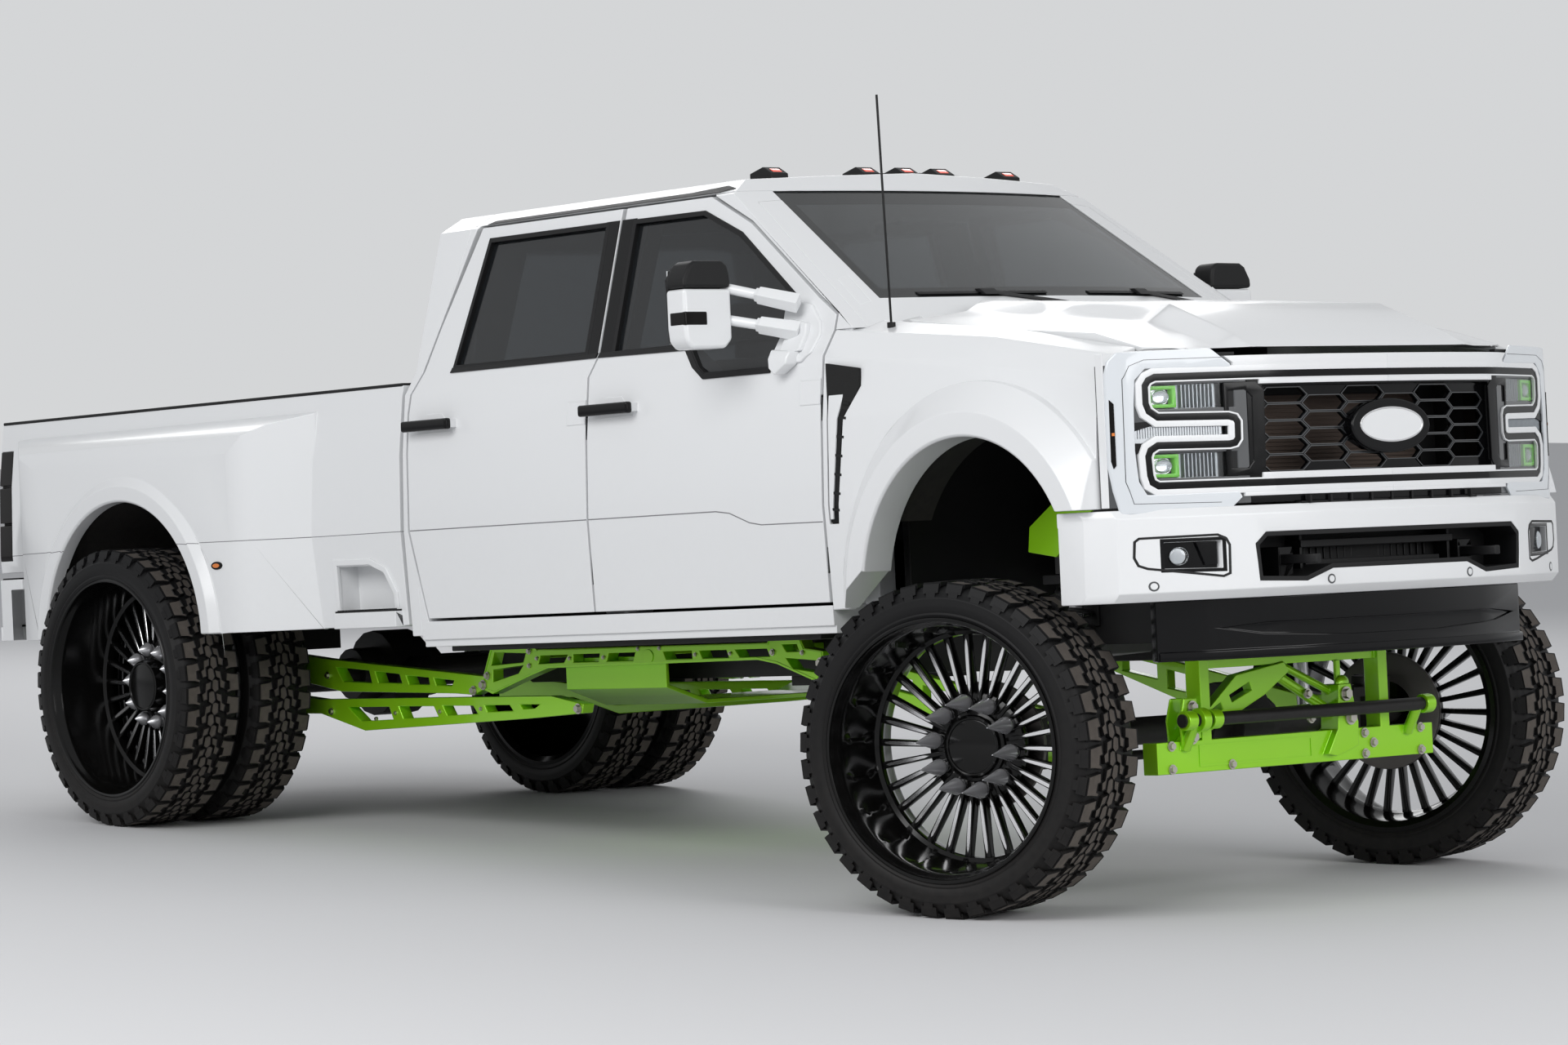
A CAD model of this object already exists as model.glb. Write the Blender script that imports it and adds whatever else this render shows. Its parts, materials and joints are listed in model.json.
import json
from math import cos, sin, pi, radians, sqrt

import bmesh
import bpy
from mathutils import Matrix, Vector

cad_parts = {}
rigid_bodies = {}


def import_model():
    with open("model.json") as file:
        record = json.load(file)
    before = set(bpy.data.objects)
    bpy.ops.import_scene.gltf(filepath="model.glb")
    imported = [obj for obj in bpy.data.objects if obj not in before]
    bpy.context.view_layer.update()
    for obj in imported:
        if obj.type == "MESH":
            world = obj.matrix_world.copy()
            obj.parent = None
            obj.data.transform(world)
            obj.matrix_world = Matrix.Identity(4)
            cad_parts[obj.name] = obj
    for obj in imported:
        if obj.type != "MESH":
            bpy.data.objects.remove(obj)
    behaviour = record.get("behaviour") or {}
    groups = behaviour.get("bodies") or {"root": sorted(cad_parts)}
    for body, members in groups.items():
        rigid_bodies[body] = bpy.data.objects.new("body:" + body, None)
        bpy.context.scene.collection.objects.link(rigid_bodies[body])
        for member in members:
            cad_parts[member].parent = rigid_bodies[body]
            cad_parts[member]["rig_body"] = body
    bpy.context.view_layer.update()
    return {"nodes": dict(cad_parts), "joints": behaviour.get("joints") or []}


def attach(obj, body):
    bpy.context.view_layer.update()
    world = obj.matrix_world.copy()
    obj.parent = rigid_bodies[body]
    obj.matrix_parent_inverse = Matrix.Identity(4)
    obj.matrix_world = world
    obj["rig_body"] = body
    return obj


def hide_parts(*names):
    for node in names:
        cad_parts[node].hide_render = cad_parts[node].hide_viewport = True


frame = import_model()
nodes = frame["nodes"]

# Lengths are in metres, and in millimetres inside mm(). Pieces are drawn in the body frame, which is level
# with the cab and has its origin on the ground under the front axle.
RAKE = radians(3.2)
STEER = radians(17.7)
TYRE_R = 0.518
KINGPIN_Y = 0.768
CHASSIS = nodes["cab_roof"]["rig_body"]
steer_joint = next(j for j in frame["joints"] if j["name"] == "steer_left")
rear_joint = next(j for j in frame["joints"] if j["name"] == "spin_rear_left")
FRONT_X = steer_joint["pos_m"][0]
REAR_X = rear_joint["pos_m"][0]
BODY = Matrix.Translation((FRONT_X, 0, 0)) @ Matrix.Rotation(-RAKE, 4, "Y")
GROUND = Matrix.Identity(4)
MIRROR = Matrix.Diagonal((1, -1, 1, 1))
SIDES = (("left", GROUND), ("right", MIRROR))


# Drawing helpers
def mm(points):
    """Outlines are written in millimetres and used in metres."""
    return [(a / 1000, b / 1000) for a, b in points]


def block(bm, x, y, z):
    """Add a box from three (low, high) pairs."""
    size = [abs(b - a) for a, b in (x, y, z)]
    middle = [(a + b) / 2 for a, b in (x, y, z)]
    place = Matrix.Translation(middle) @ Matrix.Diagonal((*size, 1))
    return bmesh.ops.create_cube(bm, size=1, matrix=place)["verts"]


PLANES = {
    "x": lambda a, b, t: (t, a, b),
    "y": lambda a, b, t: (a, t, b),
    "z": lambda a, b, t: (a, b, t),
}


def wire(bm, points, axis, height, closed=True):
    """Edges along a line of points, drawn at one height of an axis."""
    put = PLANES[axis]
    verts = [bm.verts.new(put(a, b, height)) for a, b in points]
    pairs = list(zip(verts, verts[1:]))
    if closed:
        pairs.append((verts[-1], verts[0]))
    return [bm.edges.new(pair) for pair in pairs]


def thicken(bm, faces, axis, depth):
    """Extrude faces along an axis into a closed solid."""
    grown = bmesh.ops.extrude_face_region(bm, geom=faces)["geom"]
    moved = [item for item in grown if isinstance(item, bmesh.types.BMVert)]
    bmesh.ops.translate(bm, verts=moved, vec=Vector(PLANES[axis](0, 0, depth)))
    return [v for face in faces for v in face.verts] + moved


def plate(bm, outline, axis, low, high):
    """A flat plate. Along x its outline is (y, z), along y (x, z), along z (x, y)."""
    put = PLANES[axis]
    face = bm.faces.new([bm.verts.new(put(a, b, low)) for a, b in outline])
    return thicken(bm, [face], axis, high - low)


def band(bm, outer, inner, axis, low, high):
    """A closed border between two outlines."""
    edges = wire(bm, outer, axis, low) + wire(bm, inner, axis, low)
    faces = bmesh.ops.bridge_loops(bm, edges=edges)["faces"]
    thicken(bm, faces, axis, high - low)


MITRE_LIMIT = 0.4


def offset_line(points, distance, closed=False):
    """A line moved to its own left, its corners mitred."""
    count = len(points)
    moved = []
    for i in range(count):
        here = Vector(points[i])
        runs = []
        if closed or i > 0:
            runs.append((here - Vector(points[i - 1])).normalized())
        if closed or i < count - 1:
            runs.append((Vector(points[(i + 1) % count]) - here).normalized())
        lefts = [Vector((-run.y, run.x)) for run in runs]
        middle = sum(lefts, Vector((0, 0))).normalized()
        moved.append(tuple(here + middle * (distance / max(MITRE_LIMIT, middle.dot(lefts[0])))))
    return moved


def ribbon(bm, path, near, far, axis, low, high):
    """A strip beside an open line, from near to far on its left."""
    edges = []
    for distance in (near, far):
        edges += wire(bm, offset_line(path, distance), axis, low, closed=False)
    faces = bmesh.ops.bridge_loops(bm, edges=edges)["faces"]
    thicken(bm, faces, axis, high - low)


def hoop(bm, outline, near, far, axis, low, high):
    """A strip along a closed line, from near to far on its left."""
    band(bm, offset_line(outline, near, True), offset_line(outline, far, True), axis, low, high)


def oval(centre, half, count=40):
    """The outline of an ellipse."""
    return [(centre[0] + half[0] * cos(2 * pi * k / count), centre[1] + half[1] * sin(2 * pi * k / count))
            for k in range(count)]


def rectangle(low_a, high_a, low_b, high_b):
    """The outline of a rectangle from its limits along two axes."""
    return [(low_a, low_b), (high_a, low_b), (high_a, high_b), (low_a, high_b)]


def reading(table, t):
    """A table's value at t, in straight lines between its entries."""
    if t <= table[0][0]:
        return table[0][1]
    for (a, u), (b, v) in zip(table, table[1:]):
        if t <= b:
            return u + (v - u) * (t - a) / (b - a)
    return table[-1][1]


def cut_across(bm, axis, where):
    """Cut everything with a plane, so that it can bend there."""
    normal = Vector([1.0 if name == axis else 0.0 for name in "xyz"])
    bmesh.ops.bisect_plane(bm, geom=bm.verts[:] + bm.edges[:] + bm.faces[:], plane_co=normal * where,
                           plane_no=normal, dist=1e-6)


def bend(bm, table, along, across):
    """Lay flat work on a surface that bends along one axis and lies out along another."""
    for knot, _ in table:
        cut_across(bm, along, knot)
        if knot and along == "y":
            cut_across(bm, along, -knot)
    i, j = "xyz".index(along), "xyz".index(across)
    for v in bm.verts:
        v.co[j] += reading(table, abs(v.co[i]))


def aim(start, end):
    """The place of something that runs along +Z, set between two points."""
    start, end = Vector(start), Vector(end)
    turn = (end - start).to_track_quat("Z", "Y").to_matrix().to_4x4()
    return Matrix.Translation((start + end) / 2) @ turn


def rod(bm, start, end, radius, tip=None, sides=20):
    """A round bar between two points, or a cone where tip is given."""
    length = (Vector(end) - Vector(start)).length
    tip = radius if tip is None else tip
    bmesh.ops.create_cone(bm, cap_ends=True, segments=sides, radius1=radius, radius2=tip, depth=length,
                          matrix=aim(start, end))


def bolt(bm, head, way, radius=0.011):
    """A washer and a hexagon head, standing out along way."""
    head, way = Vector(head), Vector(way).normalized()
    rod(bm, head - way * 0.004, head + way * 0.003, radius * 1.45, sides=20)
    rod(bm, head + way * 0.003, head + way * (0.003 + radius * 0.8), radius, sides=6)


def ball(bm, centre, radii):
    """A smooth rounded lens or knob."""
    place = Matrix.Translation(centre) @ Matrix.Diagonal((*radii, 1))
    bmesh.ops.create_uvsphere(bm, u_segments=24, v_segments=12, radius=1, matrix=place)


COIL_STEPS = 18


def coil(bm, foot, top, radius, wire_r, turns):
    """A coil spring standing along +Z."""
    rise = top[2] - foot[2]
    steps = COIL_STEPS * turns
    place = Matrix.Translation((foot[0] + radius, foot[1], foot[2])) @ Matrix.Rotation(pi / 2, 4, "X")
    ring = bmesh.ops.create_circle(bm, cap_ends=False, segments=10, radius=wire_r, matrix=place)["verts"]
    edges = list({e for v in ring for e in v.link_edges})
    grown = bmesh.ops.spin(bm, geom=ring + edges, cent=foot, axis=(0, 0, 1), angle=2 * pi * turns,
                           dvec=(0, 0, rise / steps), steps=steps, use_merge=False,
                           use_duplicate=False)["geom_last"]
    last = [item for item in grown if isinstance(item, bmesh.types.BMEdge)]
    for loop in (edges, last):
        bmesh.ops.edgeloop_fill(bm, edges=loop)


def turned(bm, profile, steps=72, closed=True):
    """Spin a profile of (radius, y) points about the Y axis."""
    line = [bm.verts.new((r, y, 0)) for r, y in profile]
    edges = [bm.edges.new((a, b)) for a, b in zip(line, line[1:])]
    if closed:
        edges.append(bm.edges.new((line[-1], line[0])))
    bmesh.ops.spin(bm, geom=line + edges, cent=(0, 0, 0), axis=(0, 1, 0), angle=2 * pi, steps=steps,
                   use_merge=True, use_duplicate=False)


def repeat(bm, verts, count):
    """Copy what the vertices make round the Y axis."""
    geom = set(verts)
    for v in verts:
        geom.update(v.link_edges)
        geom.update(v.link_faces)
    bmesh.ops.spin(bm, geom=list(geom), cent=(0, 0, 0), axis=(0, 1, 0), angle=2 * pi * (count - 1) / count,
                   steps=count - 1, use_merge=False, use_duplicate=True)


def round_edges(bm, width, angle=32, segments=2):
    """Bevel the edges that turn by more than angle."""
    sharp = [e for e in bm.edges if e.is_manifold and e.calc_face_angle(0) > radians(angle)]
    if sharp and width:
        bmesh.ops.bevel(bm, geom=sharp, offset=width, offset_type="OFFSET", segments=segments, profile=0.5,
                        affect="EDGES", clamp_overlap=False, material=-1)


def piece(bm, name, body, finish, slot, place=BODY, replaces=(), smooth=32, edge=0.0, both=False, segments=2):
    """Turn a bmesh into a finished piece. both adds its mirror image across the truck's middle."""
    bmesh.ops.remove_doubles(bm, verts=bm.verts, dist=1e-6)
    bmesh.ops.recalc_face_normals(bm, faces=bm.faces)
    round_edges(bm, edge, segments=segments)
    if both:
        bmesh.ops.mirror(bm, geom=bm.verts[:] + bm.edges[:] + bm.faces[:], axis="Y", merge_dist=-1)
    bmesh.ops.transform(bm, matrix=place, verts=bm.verts)
    bmesh.ops.recalc_face_normals(bm, faces=bm.faces)
    mesh = bpy.data.meshes.new(name)
    bm.to_mesh(mesh)
    bm.free()
    for material in finish if isinstance(finish, (list, tuple)) else [finish]:
        mesh.materials.append(material)
    mesh.shade_smooth()
    mesh.set_sharp_from_angle(angle=radians(smooth))
    obj = bpy.data.objects.new(name, mesh)
    bpy.context.scene.collection.objects.link(obj)
    if edge:
        weigh = obj.modifiers.new("even shading", "WEIGHTED_NORMAL")
        weigh.keep_sharp = True
    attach(obj, body)
    if replaces:
        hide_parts(*replaces)
    return obj


def made(name, finish, slot, shapes, body=CHASSIS, surface=None, **options):
    """A piece from a list of shapes, drawn flat and bent to a surface of the truck where one is given."""
    bm = bmesh.new()
    for shape, *details in shapes:
        shape(bm, *details)
    if surface:
        surface(bm)
    piece(bm, name, body, finish, slot, **options)


def dressed(node, finish, slot, edge=0.003, reshape=None):
    """A panel's own shape with its triangles joined to faces and its edges rounded."""
    bm = bmesh.new()
    bm.from_mesh(nodes[node].data)
    bmesh.ops.remove_doubles(bm, verts=bm.verts, dist=1e-5)
    bmesh.ops.dissolve_limit(bm, angle_limit=radians(0.6), use_dissolve_boundaries=False,
                             verts=bm.verts, edges=bm.edges, delimit=set())
    if reshape:
        bmesh.ops.transform(bm, matrix=BODY.inverted(), verts=bm.verts)
        reshape(bm)
        bmesh.ops.transform(bm, matrix=BODY, verts=bm.verts)
    piece(bm, node + "_skin", nodes[node]["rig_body"], finish, slot, place=GROUND, replaces=(node,), edge=edge)


# Surfaces that flat work is laid on, as (distance, height) tables in metres
FACE_PLAN = [(0, 0.942), (0.25, 0.935), (0.48, 0.908), (0.56, 0.888), (0.76, 0.812), (0.94, 0.742),
             (0.985, 0.705)]
BUMPER_PLAN = [(0, 0.978), (0.30, 0.968), (0.585, 0.930), (0.735, 0.868), (0.985, 0.735)]
FLANK_SECTION = [(0.9, 1.0), (1.288, 1.02), (1.56, 1.01), (1.77, 0.988), (1.85, 0.935), (2.345, 0.80),
                 (2.40, 0.70)]
SCREEN_R = 2.6
SCREEN_STEP = 0.09
SCREEN_PLAN = [(y, sqrt(SCREEN_R ** 2 - y ** 2) - SCREEN_R) for y in (k * SCREEN_STEP for k in range(10))]
SCREEN_BASE = (-0.430, 1.920)
SCREEN_SLOPE = -1.575


def on_face(bm):
    """Lay work on the front of the grille and the lamps."""
    bend(bm, FACE_PLAN, "y", "x")


def on_bumper(bm):
    """Lay work on the front bumper."""
    bend(bm, BUMPER_PLAN, "y", "x")


def on_flank(bm):
    """Lay work on the truck's flank, from the sill to the roof."""
    bend(bm, FLANK_SECTION, "z", "y")


def on_screen(bm):
    """Lay work on the curved and sloping windscreen."""
    bend(bm, SCREEN_PLAN, "y", "x")
    for v in bm.verts:
        v.co.x += SCREEN_BASE[0] + SCREEN_SLOPE * (v.co.z - SCREEN_BASE[1])


# Shader groups
def new_group(name, inputs, outputs):
    """An empty shader group with its sockets, given as (kind, name, value) and (kind, name)."""
    group = bpy.data.node_groups.new(name, "ShaderNodeTree")
    for kind, label, value in inputs:
        socket = group.interface.new_socket(label, in_out="INPUT", socket_type=kind)
        socket.default_value = value
    for kind, label in outputs:
        group.interface.new_socket(label, in_out="OUTPUT", socket_type=kind)
    return group, group.nodes.new("NodeGroupInput"), group.nodes.new("NodeGroupOutput")


def link(tree, a, b):
    """Join an output to an input."""
    tree.links.new(a, b)


def noise_node(tree, vector, scale, detail):
    """A noise texture. Its scale is a number or a socket."""
    node = tree.nodes.new("ShaderNodeTexNoise")
    node.inputs["Detail"].default_value = detail
    link(tree, vector, node.inputs["Vector"])
    if isinstance(scale, (int, float)):
        node.inputs["Scale"].default_value = scale
    else:
        link(tree, scale, node.inputs["Scale"])
    return node


def math_node(tree, operation, a, b=None, clamp=False):
    """One step of arithmetic on numbers or sockets."""
    node = tree.nodes.new("ShaderNodeMath")
    node.operation = operation
    node.use_clamp = clamp
    for socket, value in zip(node.inputs, (a, b)):
        if value is None:
            continue
        if isinstance(value, (int, float)):
            socket.default_value = value
        else:
            link(tree, value, socket)
    return node.outputs[0]


def mix_colour(tree, factor, a, b):
    """A colour between a and b."""
    node = tree.nodes.new("ShaderNodeMix")
    node.data_type = "RGBA"
    colour_in = [s for s in node.inputs if s.type == "RGBA"]
    for socket, value in ((node.inputs[0], factor), (colour_in[0], a), (colour_in[1], b)):
        if isinstance(value, (int, float, tuple)):
            socket.default_value = value
        else:
            link(tree, value, socket)
    return [s for s in node.outputs if s.type == "RGBA"][0]


DUST_COLOUR = (0.30, 0.26, 0.22, 1)
PATCH_SCALE = 2.3
SPECK_SCALE = 38.0
DUST_ROUGHENS = 0.4
SPECK_ROUGHENS = 0.06
COARSE_SCALE = 0.12


def make_wear_group():
    """Colour that drifts a little over a surface, road dust that thickens towards the ground, and the
    roughness that goes with both."""
    group, inside, out = new_group("surface drift and road dust", [
        ("NodeSocketVector", "Position", (0, 0, 0)), ("NodeSocketColor", "Colour", (0.5, 0.5, 0.5, 1)),
        ("NodeSocketColor", "Dust colour", DUST_COLOUR), ("NodeSocketFloat", "Drift", 0.04),
        ("NodeSocketFloat", "Dust", 0.1), ("NodeSocketFloat", "Dust height", 1.0),
        ("NodeSocketFloat", "Roughness", 0.4)],
        [("NodeSocketColor", "Colour"), ("NodeSocketFloat", "Roughness")])
    position = inside.outputs["Position"]
    broad = noise_node(group, position, PATCH_SCALE, 4.0)
    speck = noise_node(group, position, SPECK_SCALE, 6.0)
    split = group.nodes.new("ShaderNodeSeparateXYZ")
    link(group, position, split.inputs[0])
    low = math_node(group, "DIVIDE", split.outputs["Z"], inside.outputs["Dust height"])
    near_ground = math_node(group, "SUBTRACT", 1.0, low, clamp=True)
    patch = math_node(group, "MULTIPLY", near_ground, speck.outputs["Fac"])
    dust = math_node(group, "MULTIPLY", patch, inside.outputs["Dust"], clamp=True)
    darker = mix_colour(group, 0.5, inside.outputs["Colour"], (0.0, 0.0, 0.0, 1))
    drift = math_node(group, "MULTIPLY", broad.outputs["Fac"], inside.outputs["Drift"], clamp=True)
    drifted = mix_colour(group, drift, inside.outputs["Colour"], darker)
    link(group, mix_colour(group, dust, drifted, inside.outputs["Dust colour"]), out.inputs["Colour"])
    rough = math_node(group, "MULTIPLY_ADD", dust, DUST_ROUGHENS)
    link(group, inside.outputs["Roughness"], rough.node.inputs[2])
    uneven = math_node(group, "MULTIPLY_ADD", speck.outputs["Fac"], SPECK_ROUGHENS)
    link(group, rough, uneven.node.inputs[2])
    link(group, uneven, out.inputs["Roughness"])
    return group


def make_grain_group():
    """The fine unevenness of sprayed paint, moulded plastic or cast metal, as a height."""
    group, inside, out = new_group("fine grain", [
        ("NodeSocketVector", "Position", (0, 0, 0)), ("NodeSocketFloat", "Scale", 400.0),
        ("NodeSocketFloat", "Coarse share", 0.3)], [("NodeSocketFloat", "Height")])
    fine = noise_node(group, inside.outputs["Position"], inside.outputs["Scale"], 2.0)
    wide = math_node(group, "MULTIPLY", inside.outputs["Scale"], COARSE_SCALE)
    coarse = noise_node(group, inside.outputs["Position"], wide, 2.0)
    share = math_node(group, "MULTIPLY", coarse.outputs["Fac"], inside.outputs["Coarse share"])
    link(group, math_node(group, "ADD", fine.outputs["Fac"], share), out.inputs["Height"])
    return group


WEAR = make_wear_group()
GRAIN = make_grain_group()
SURFACE_IOR = 1.45
GRAIN_HEIGHT = 0.002


def finish(name, colour, roughness, metallic=0.0, coat=0.0, coat_roughness=0.03, grain=400.0, depth=0.02,
           drift=0.06, dust=0.1, dust_height=0.9, transmission=0.0, emission=None, specular=0.5):
    """A surface finish: base colour with drift and dust, a fine grain and the shader's own settings."""
    material = bpy.data.materials.new(name)
    material.use_nodes = True
    tree = material.node_tree
    shader = tree.nodes["Principled BSDF"]
    coordinates = tree.nodes.new("ShaderNodeTexCoord")
    wear = tree.nodes.new("ShaderNodeGroup")
    wear.node_tree = WEAR
    link(tree, coordinates.outputs["Object"], wear.inputs["Position"])
    for label, value in (("Colour", (*colour, 1)), ("Drift", drift), ("Dust", dust),
                         ("Dust height", dust_height), ("Roughness", roughness)):
        wear.inputs[label].default_value = value
    link(tree, wear.outputs["Colour"], shader.inputs["Base Color"])
    link(tree, wear.outputs["Roughness"], shader.inputs["Roughness"])
    texture = tree.nodes.new("ShaderNodeGroup")
    texture.node_tree = GRAIN
    link(tree, coordinates.outputs["Object"], texture.inputs["Position"])
    texture.inputs["Scale"].default_value = grain
    bump = tree.nodes.new("ShaderNodeBump")
    bump.inputs["Strength"].default_value = depth
    bump.inputs["Distance"].default_value = GRAIN_HEIGHT
    link(tree, texture.outputs["Height"], bump.inputs["Height"])
    link(tree, bump.outputs["Normal"], shader.inputs["Normal"])
    for label, value in (("Metallic", metallic), ("Coat Weight", coat), ("Coat Roughness", coat_roughness),
                         ("Transmission Weight", transmission), ("IOR", SURFACE_IOR),
                         ("Specular IOR Level", specular)):
        shader.inputs[label].default_value = value
    if emission:
        glow, strength = emission
        shader.inputs["Emission Color"].default_value = (*glow, 1)
        shader.inputs["Emission Strength"].default_value = strength
    return material


# Paints and coats
WHITE = finish("white_gloss_paint", (0.80, 0.81, 0.82), 0.34, coat=0.55, coat_roughness=0.14, grain=260,
               depth=0.012, drift=0.03, dust=0.10, dust_height=1.5)
BLACK_GLOSS = finish("black_gloss_paint", (0.0025, 0.0025, 0.003), 0.10, grain=260, depth=0.006, dust=0.02,
                     specular=0.28)
WHEEL_BLACK = finish("black_wheel_paint", (0.0025, 0.0025, 0.0025), 0.12, grain=300, depth=0.0, dust=0.01,
                     specular=0.3)
BLACK_SATIN = finish("black_satin_coat", (0.007, 0.007, 0.0075), 0.42, grain=500, depth=0.06, dust=0.15,
                     specular=0.35)
GREEN = finish("candy_green_coat", (0.34, 0.78, 0.008), 0.32, metallic=0.45, coat=0.8, coat_roughness=0.08,
               grain=420, depth=0.004, drift=0.10, dust=0.04)
GREEN_LAMP = finish("lime_lamp_paint", (0.22, 0.85, 0.03), 0.3, coat=0.6, dust=0.0)
LAMP_GREY = finish("lamp_dark_grey", (0.055, 0.058, 0.062), 0.3, coat=0.7, dust=0.0)
CREASE_GREY = finish("crease_shadow", (0.22, 0.22, 0.23), 0.5, dust=0.0)
BED_LINER = finish("sprayed_bed_liner", (0.018, 0.018, 0.018), 0.75, grain=220, depth=0.6, dust=0.3,
                   dust_height=1.8)

# Plastics, rubber and soft trim
BLACK_MOULDED = finish("black_moulded_plastic", (0.008, 0.008, 0.0085), 0.5, grain=700, depth=0.12, dust=0.1,
                       specular=0.3)
LINER_FELT = finish("wheel_liner_fibre", (0.010, 0.010, 0.010), 0.9, grain=500, depth=0.5, dust=0.5,
                    dust_height=1.6)
RUBBER = finish("tyre_sidewall_rubber", (0.006, 0.006, 0.0065), 0.5, grain=350, depth=0.08, dust=0.05,
                dust_height=1.0, specular=0.22)
TREAD = finish("dusty_tread_rubber", (0.060, 0.051, 0.045), 0.88, grain=300, depth=0.35, drift=0.5, dust=0.4,
               dust_height=1.5)
CABIN = finish("cabin_soft_trim", (0.030, 0.030, 0.033), 0.6, grain=500, depth=0.2, dust=0.0)
LEATHER = finish("seat_leather", (0.035, 0.034, 0.036), 0.48, grain=220, depth=0.25, drift=0.15, dust=0.0)

# Metals
MILLED = finish("milled_aluminium", (0.80, 0.80, 0.81), 0.20, metallic=1.0, grain=900, depth=0.03, dust=0.0)
DARK_CHROME = finish("dark_chrome", (0.66, 0.66, 0.68), 0.22, metallic=0.70, grain=500, depth=0.0, dust=0.0)
STEEL = finish("zinc_bolt_steel", (0.55, 0.53, 0.48), 0.3, metallic=1.0, grain=600, depth=0.05)
CAST = finish("raw_cast_metal", (0.20, 0.20, 0.20), 0.6, metallic=0.8, grain=400, depth=0.4, dust=0.4)
BRAKE_IRON = finish("brake_disc_iron", (0.16, 0.15, 0.145), 0.4, metallic=0.9, grain=500, depth=0.1, dust=0.1)
RADIATOR = finish("brown_radiator_fins", (0.115, 0.085, 0.070), 0.5, metallic=0.5, grain=300, depth=0.3,
                  dust=0.2, dust_height=2.0)

# Glass, lenses and reflectors
TINT = finish("tinted_glass", (0.10, 0.11, 0.12), 0.015, transmission=0.92, grain=50, depth=0.0, drift=0.0,
              dust=0.0)
SCREEN_GLASS = finish("windscreen_glass", (0.30, 0.32, 0.33), 0.012, transmission=0.95, grain=50, depth=0.0,
                      drift=0.0, dust=0.0)
MIRROR_GLASS = finish("mirror_glass", (0.85, 0.87, 0.88), 0.02, metallic=1.0, grain=50, depth=0.0, dust=0.0)
LENS = finish("clear_lens", (0.92, 0.94, 0.95), 0.02, transmission=1.0, grain=50, depth=0.0, drift=0.0,
              dust=0.0)
SMOKED = finish("smoked_lens", (0.003, 0.002, 0.002), 0.08, specular=0.25, grain=50, depth=0.0, dust=0.0)
AMBER = finish("amber_lens", (0.75, 0.20, 0.02), 0.15, coat=1.0, dust=0.0)
RED_MARKER = finish("red_marker_lens", (0.75, 0.05, 0.02), 0.2, coat=1.0, dust=0.0,
                    emission=((1.0, 0.10, 0.03), 0.4))
LIGHT_BAR = finish("white_light_pipe", (0.66, 0.69, 0.72), 0.18, coat=0.8, dust=0.0, drift=0.0,
                   emission=((0.95, 0.97, 1.0), 0.03))
REFLECTOR = finish("ribbed_reflector", (0.42, 0.44, 0.46), 0.30, metallic=0.8, grain=120, depth=0.0, dust=0.0)


# Body panels keep the shape of the part, with rounded edges
def soften_bumper(bm):
    """Lean the bumper's foot back and round its top towards the grille."""
    foot, shoulder, top = 0.962, 1.190, 1.205
    for z in (foot, shoulder):
        cut_across(bm, "z", z)
    for v in bm.verts:
        if v.co.x < 0.60:
            continue
        if v.co.z < foot - 0.001:
            v.co.x -= 0.030
        elif v.co.z > top:
            v.co.x -= 0.022


def blacken_post(bm):
    """Make the post between the door windows black."""
    front, back, low, high = -1.735, -1.900, 1.846, 2.306
    for axis, where in (("x", back), ("x", front), ("z", low), ("z", high)):
        cut_across(bm, axis, where)
    for face in bm.faces:
        middle = face.calc_center_median()
        if back < middle.x < front and low < middle.z < high:
            face.material_index = 1


def mark_crease(bm):
    """Draw the body side's thin crease, which runs over the bulge as well."""
    low, high = 1.2865, 1.2895
    for z in (low, high):
        cut_across(bm, "z", z)
    for face in bm.faces:
        middle = face.calc_center_median()
        side = 1 if middle.y > 0 else -1
        outward = face.normal.y * side > 0.25 or (face.normal.x > 0.5 and middle.x > -3.6)
        if low < middle.z < high and abs(middle.y) > 0.95 and outward:
            face.material_index = 1


def trim_inside(bm):
    """Give a door's inner face the cabin's trim."""
    for face in bm.faces:
        middle = face.calc_center_median()
        side = 1 if middle.y > 0 else -1
        if face.normal.y * side < -0.5 and abs(middle.y) < 0.985:
            face.material_index = 1


DOORS = ("front_left", "front_right", "rear_left", "rear_right")
for door in DOORS:
    dressed(f"door_{door}", [WHITE, CABIN], "paint", reshape=trim_inside)
for node in ("cab_roof", "cab_back", "front_fenders", "hood", "tailgate", "rear_bumper"):
    dressed(node, WHITE, "paint")
dressed("cab_sides", [WHITE, BLACK_MOULDED], "paint", reshape=blacken_post)
dressed("bed_sides", [WHITE, CREASE_GREY], "paint", reshape=mark_crease)
dressed("front_bumper", WHITE, "paint", edge=0.0035, reshape=soften_bumper)
for door in DOORS:
    dressed(f"glass_{door}", TINT, "glass", edge=0.0)
dressed("cab_glass", SCREEN_GLASS, "glass", edge=0.0)

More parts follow.
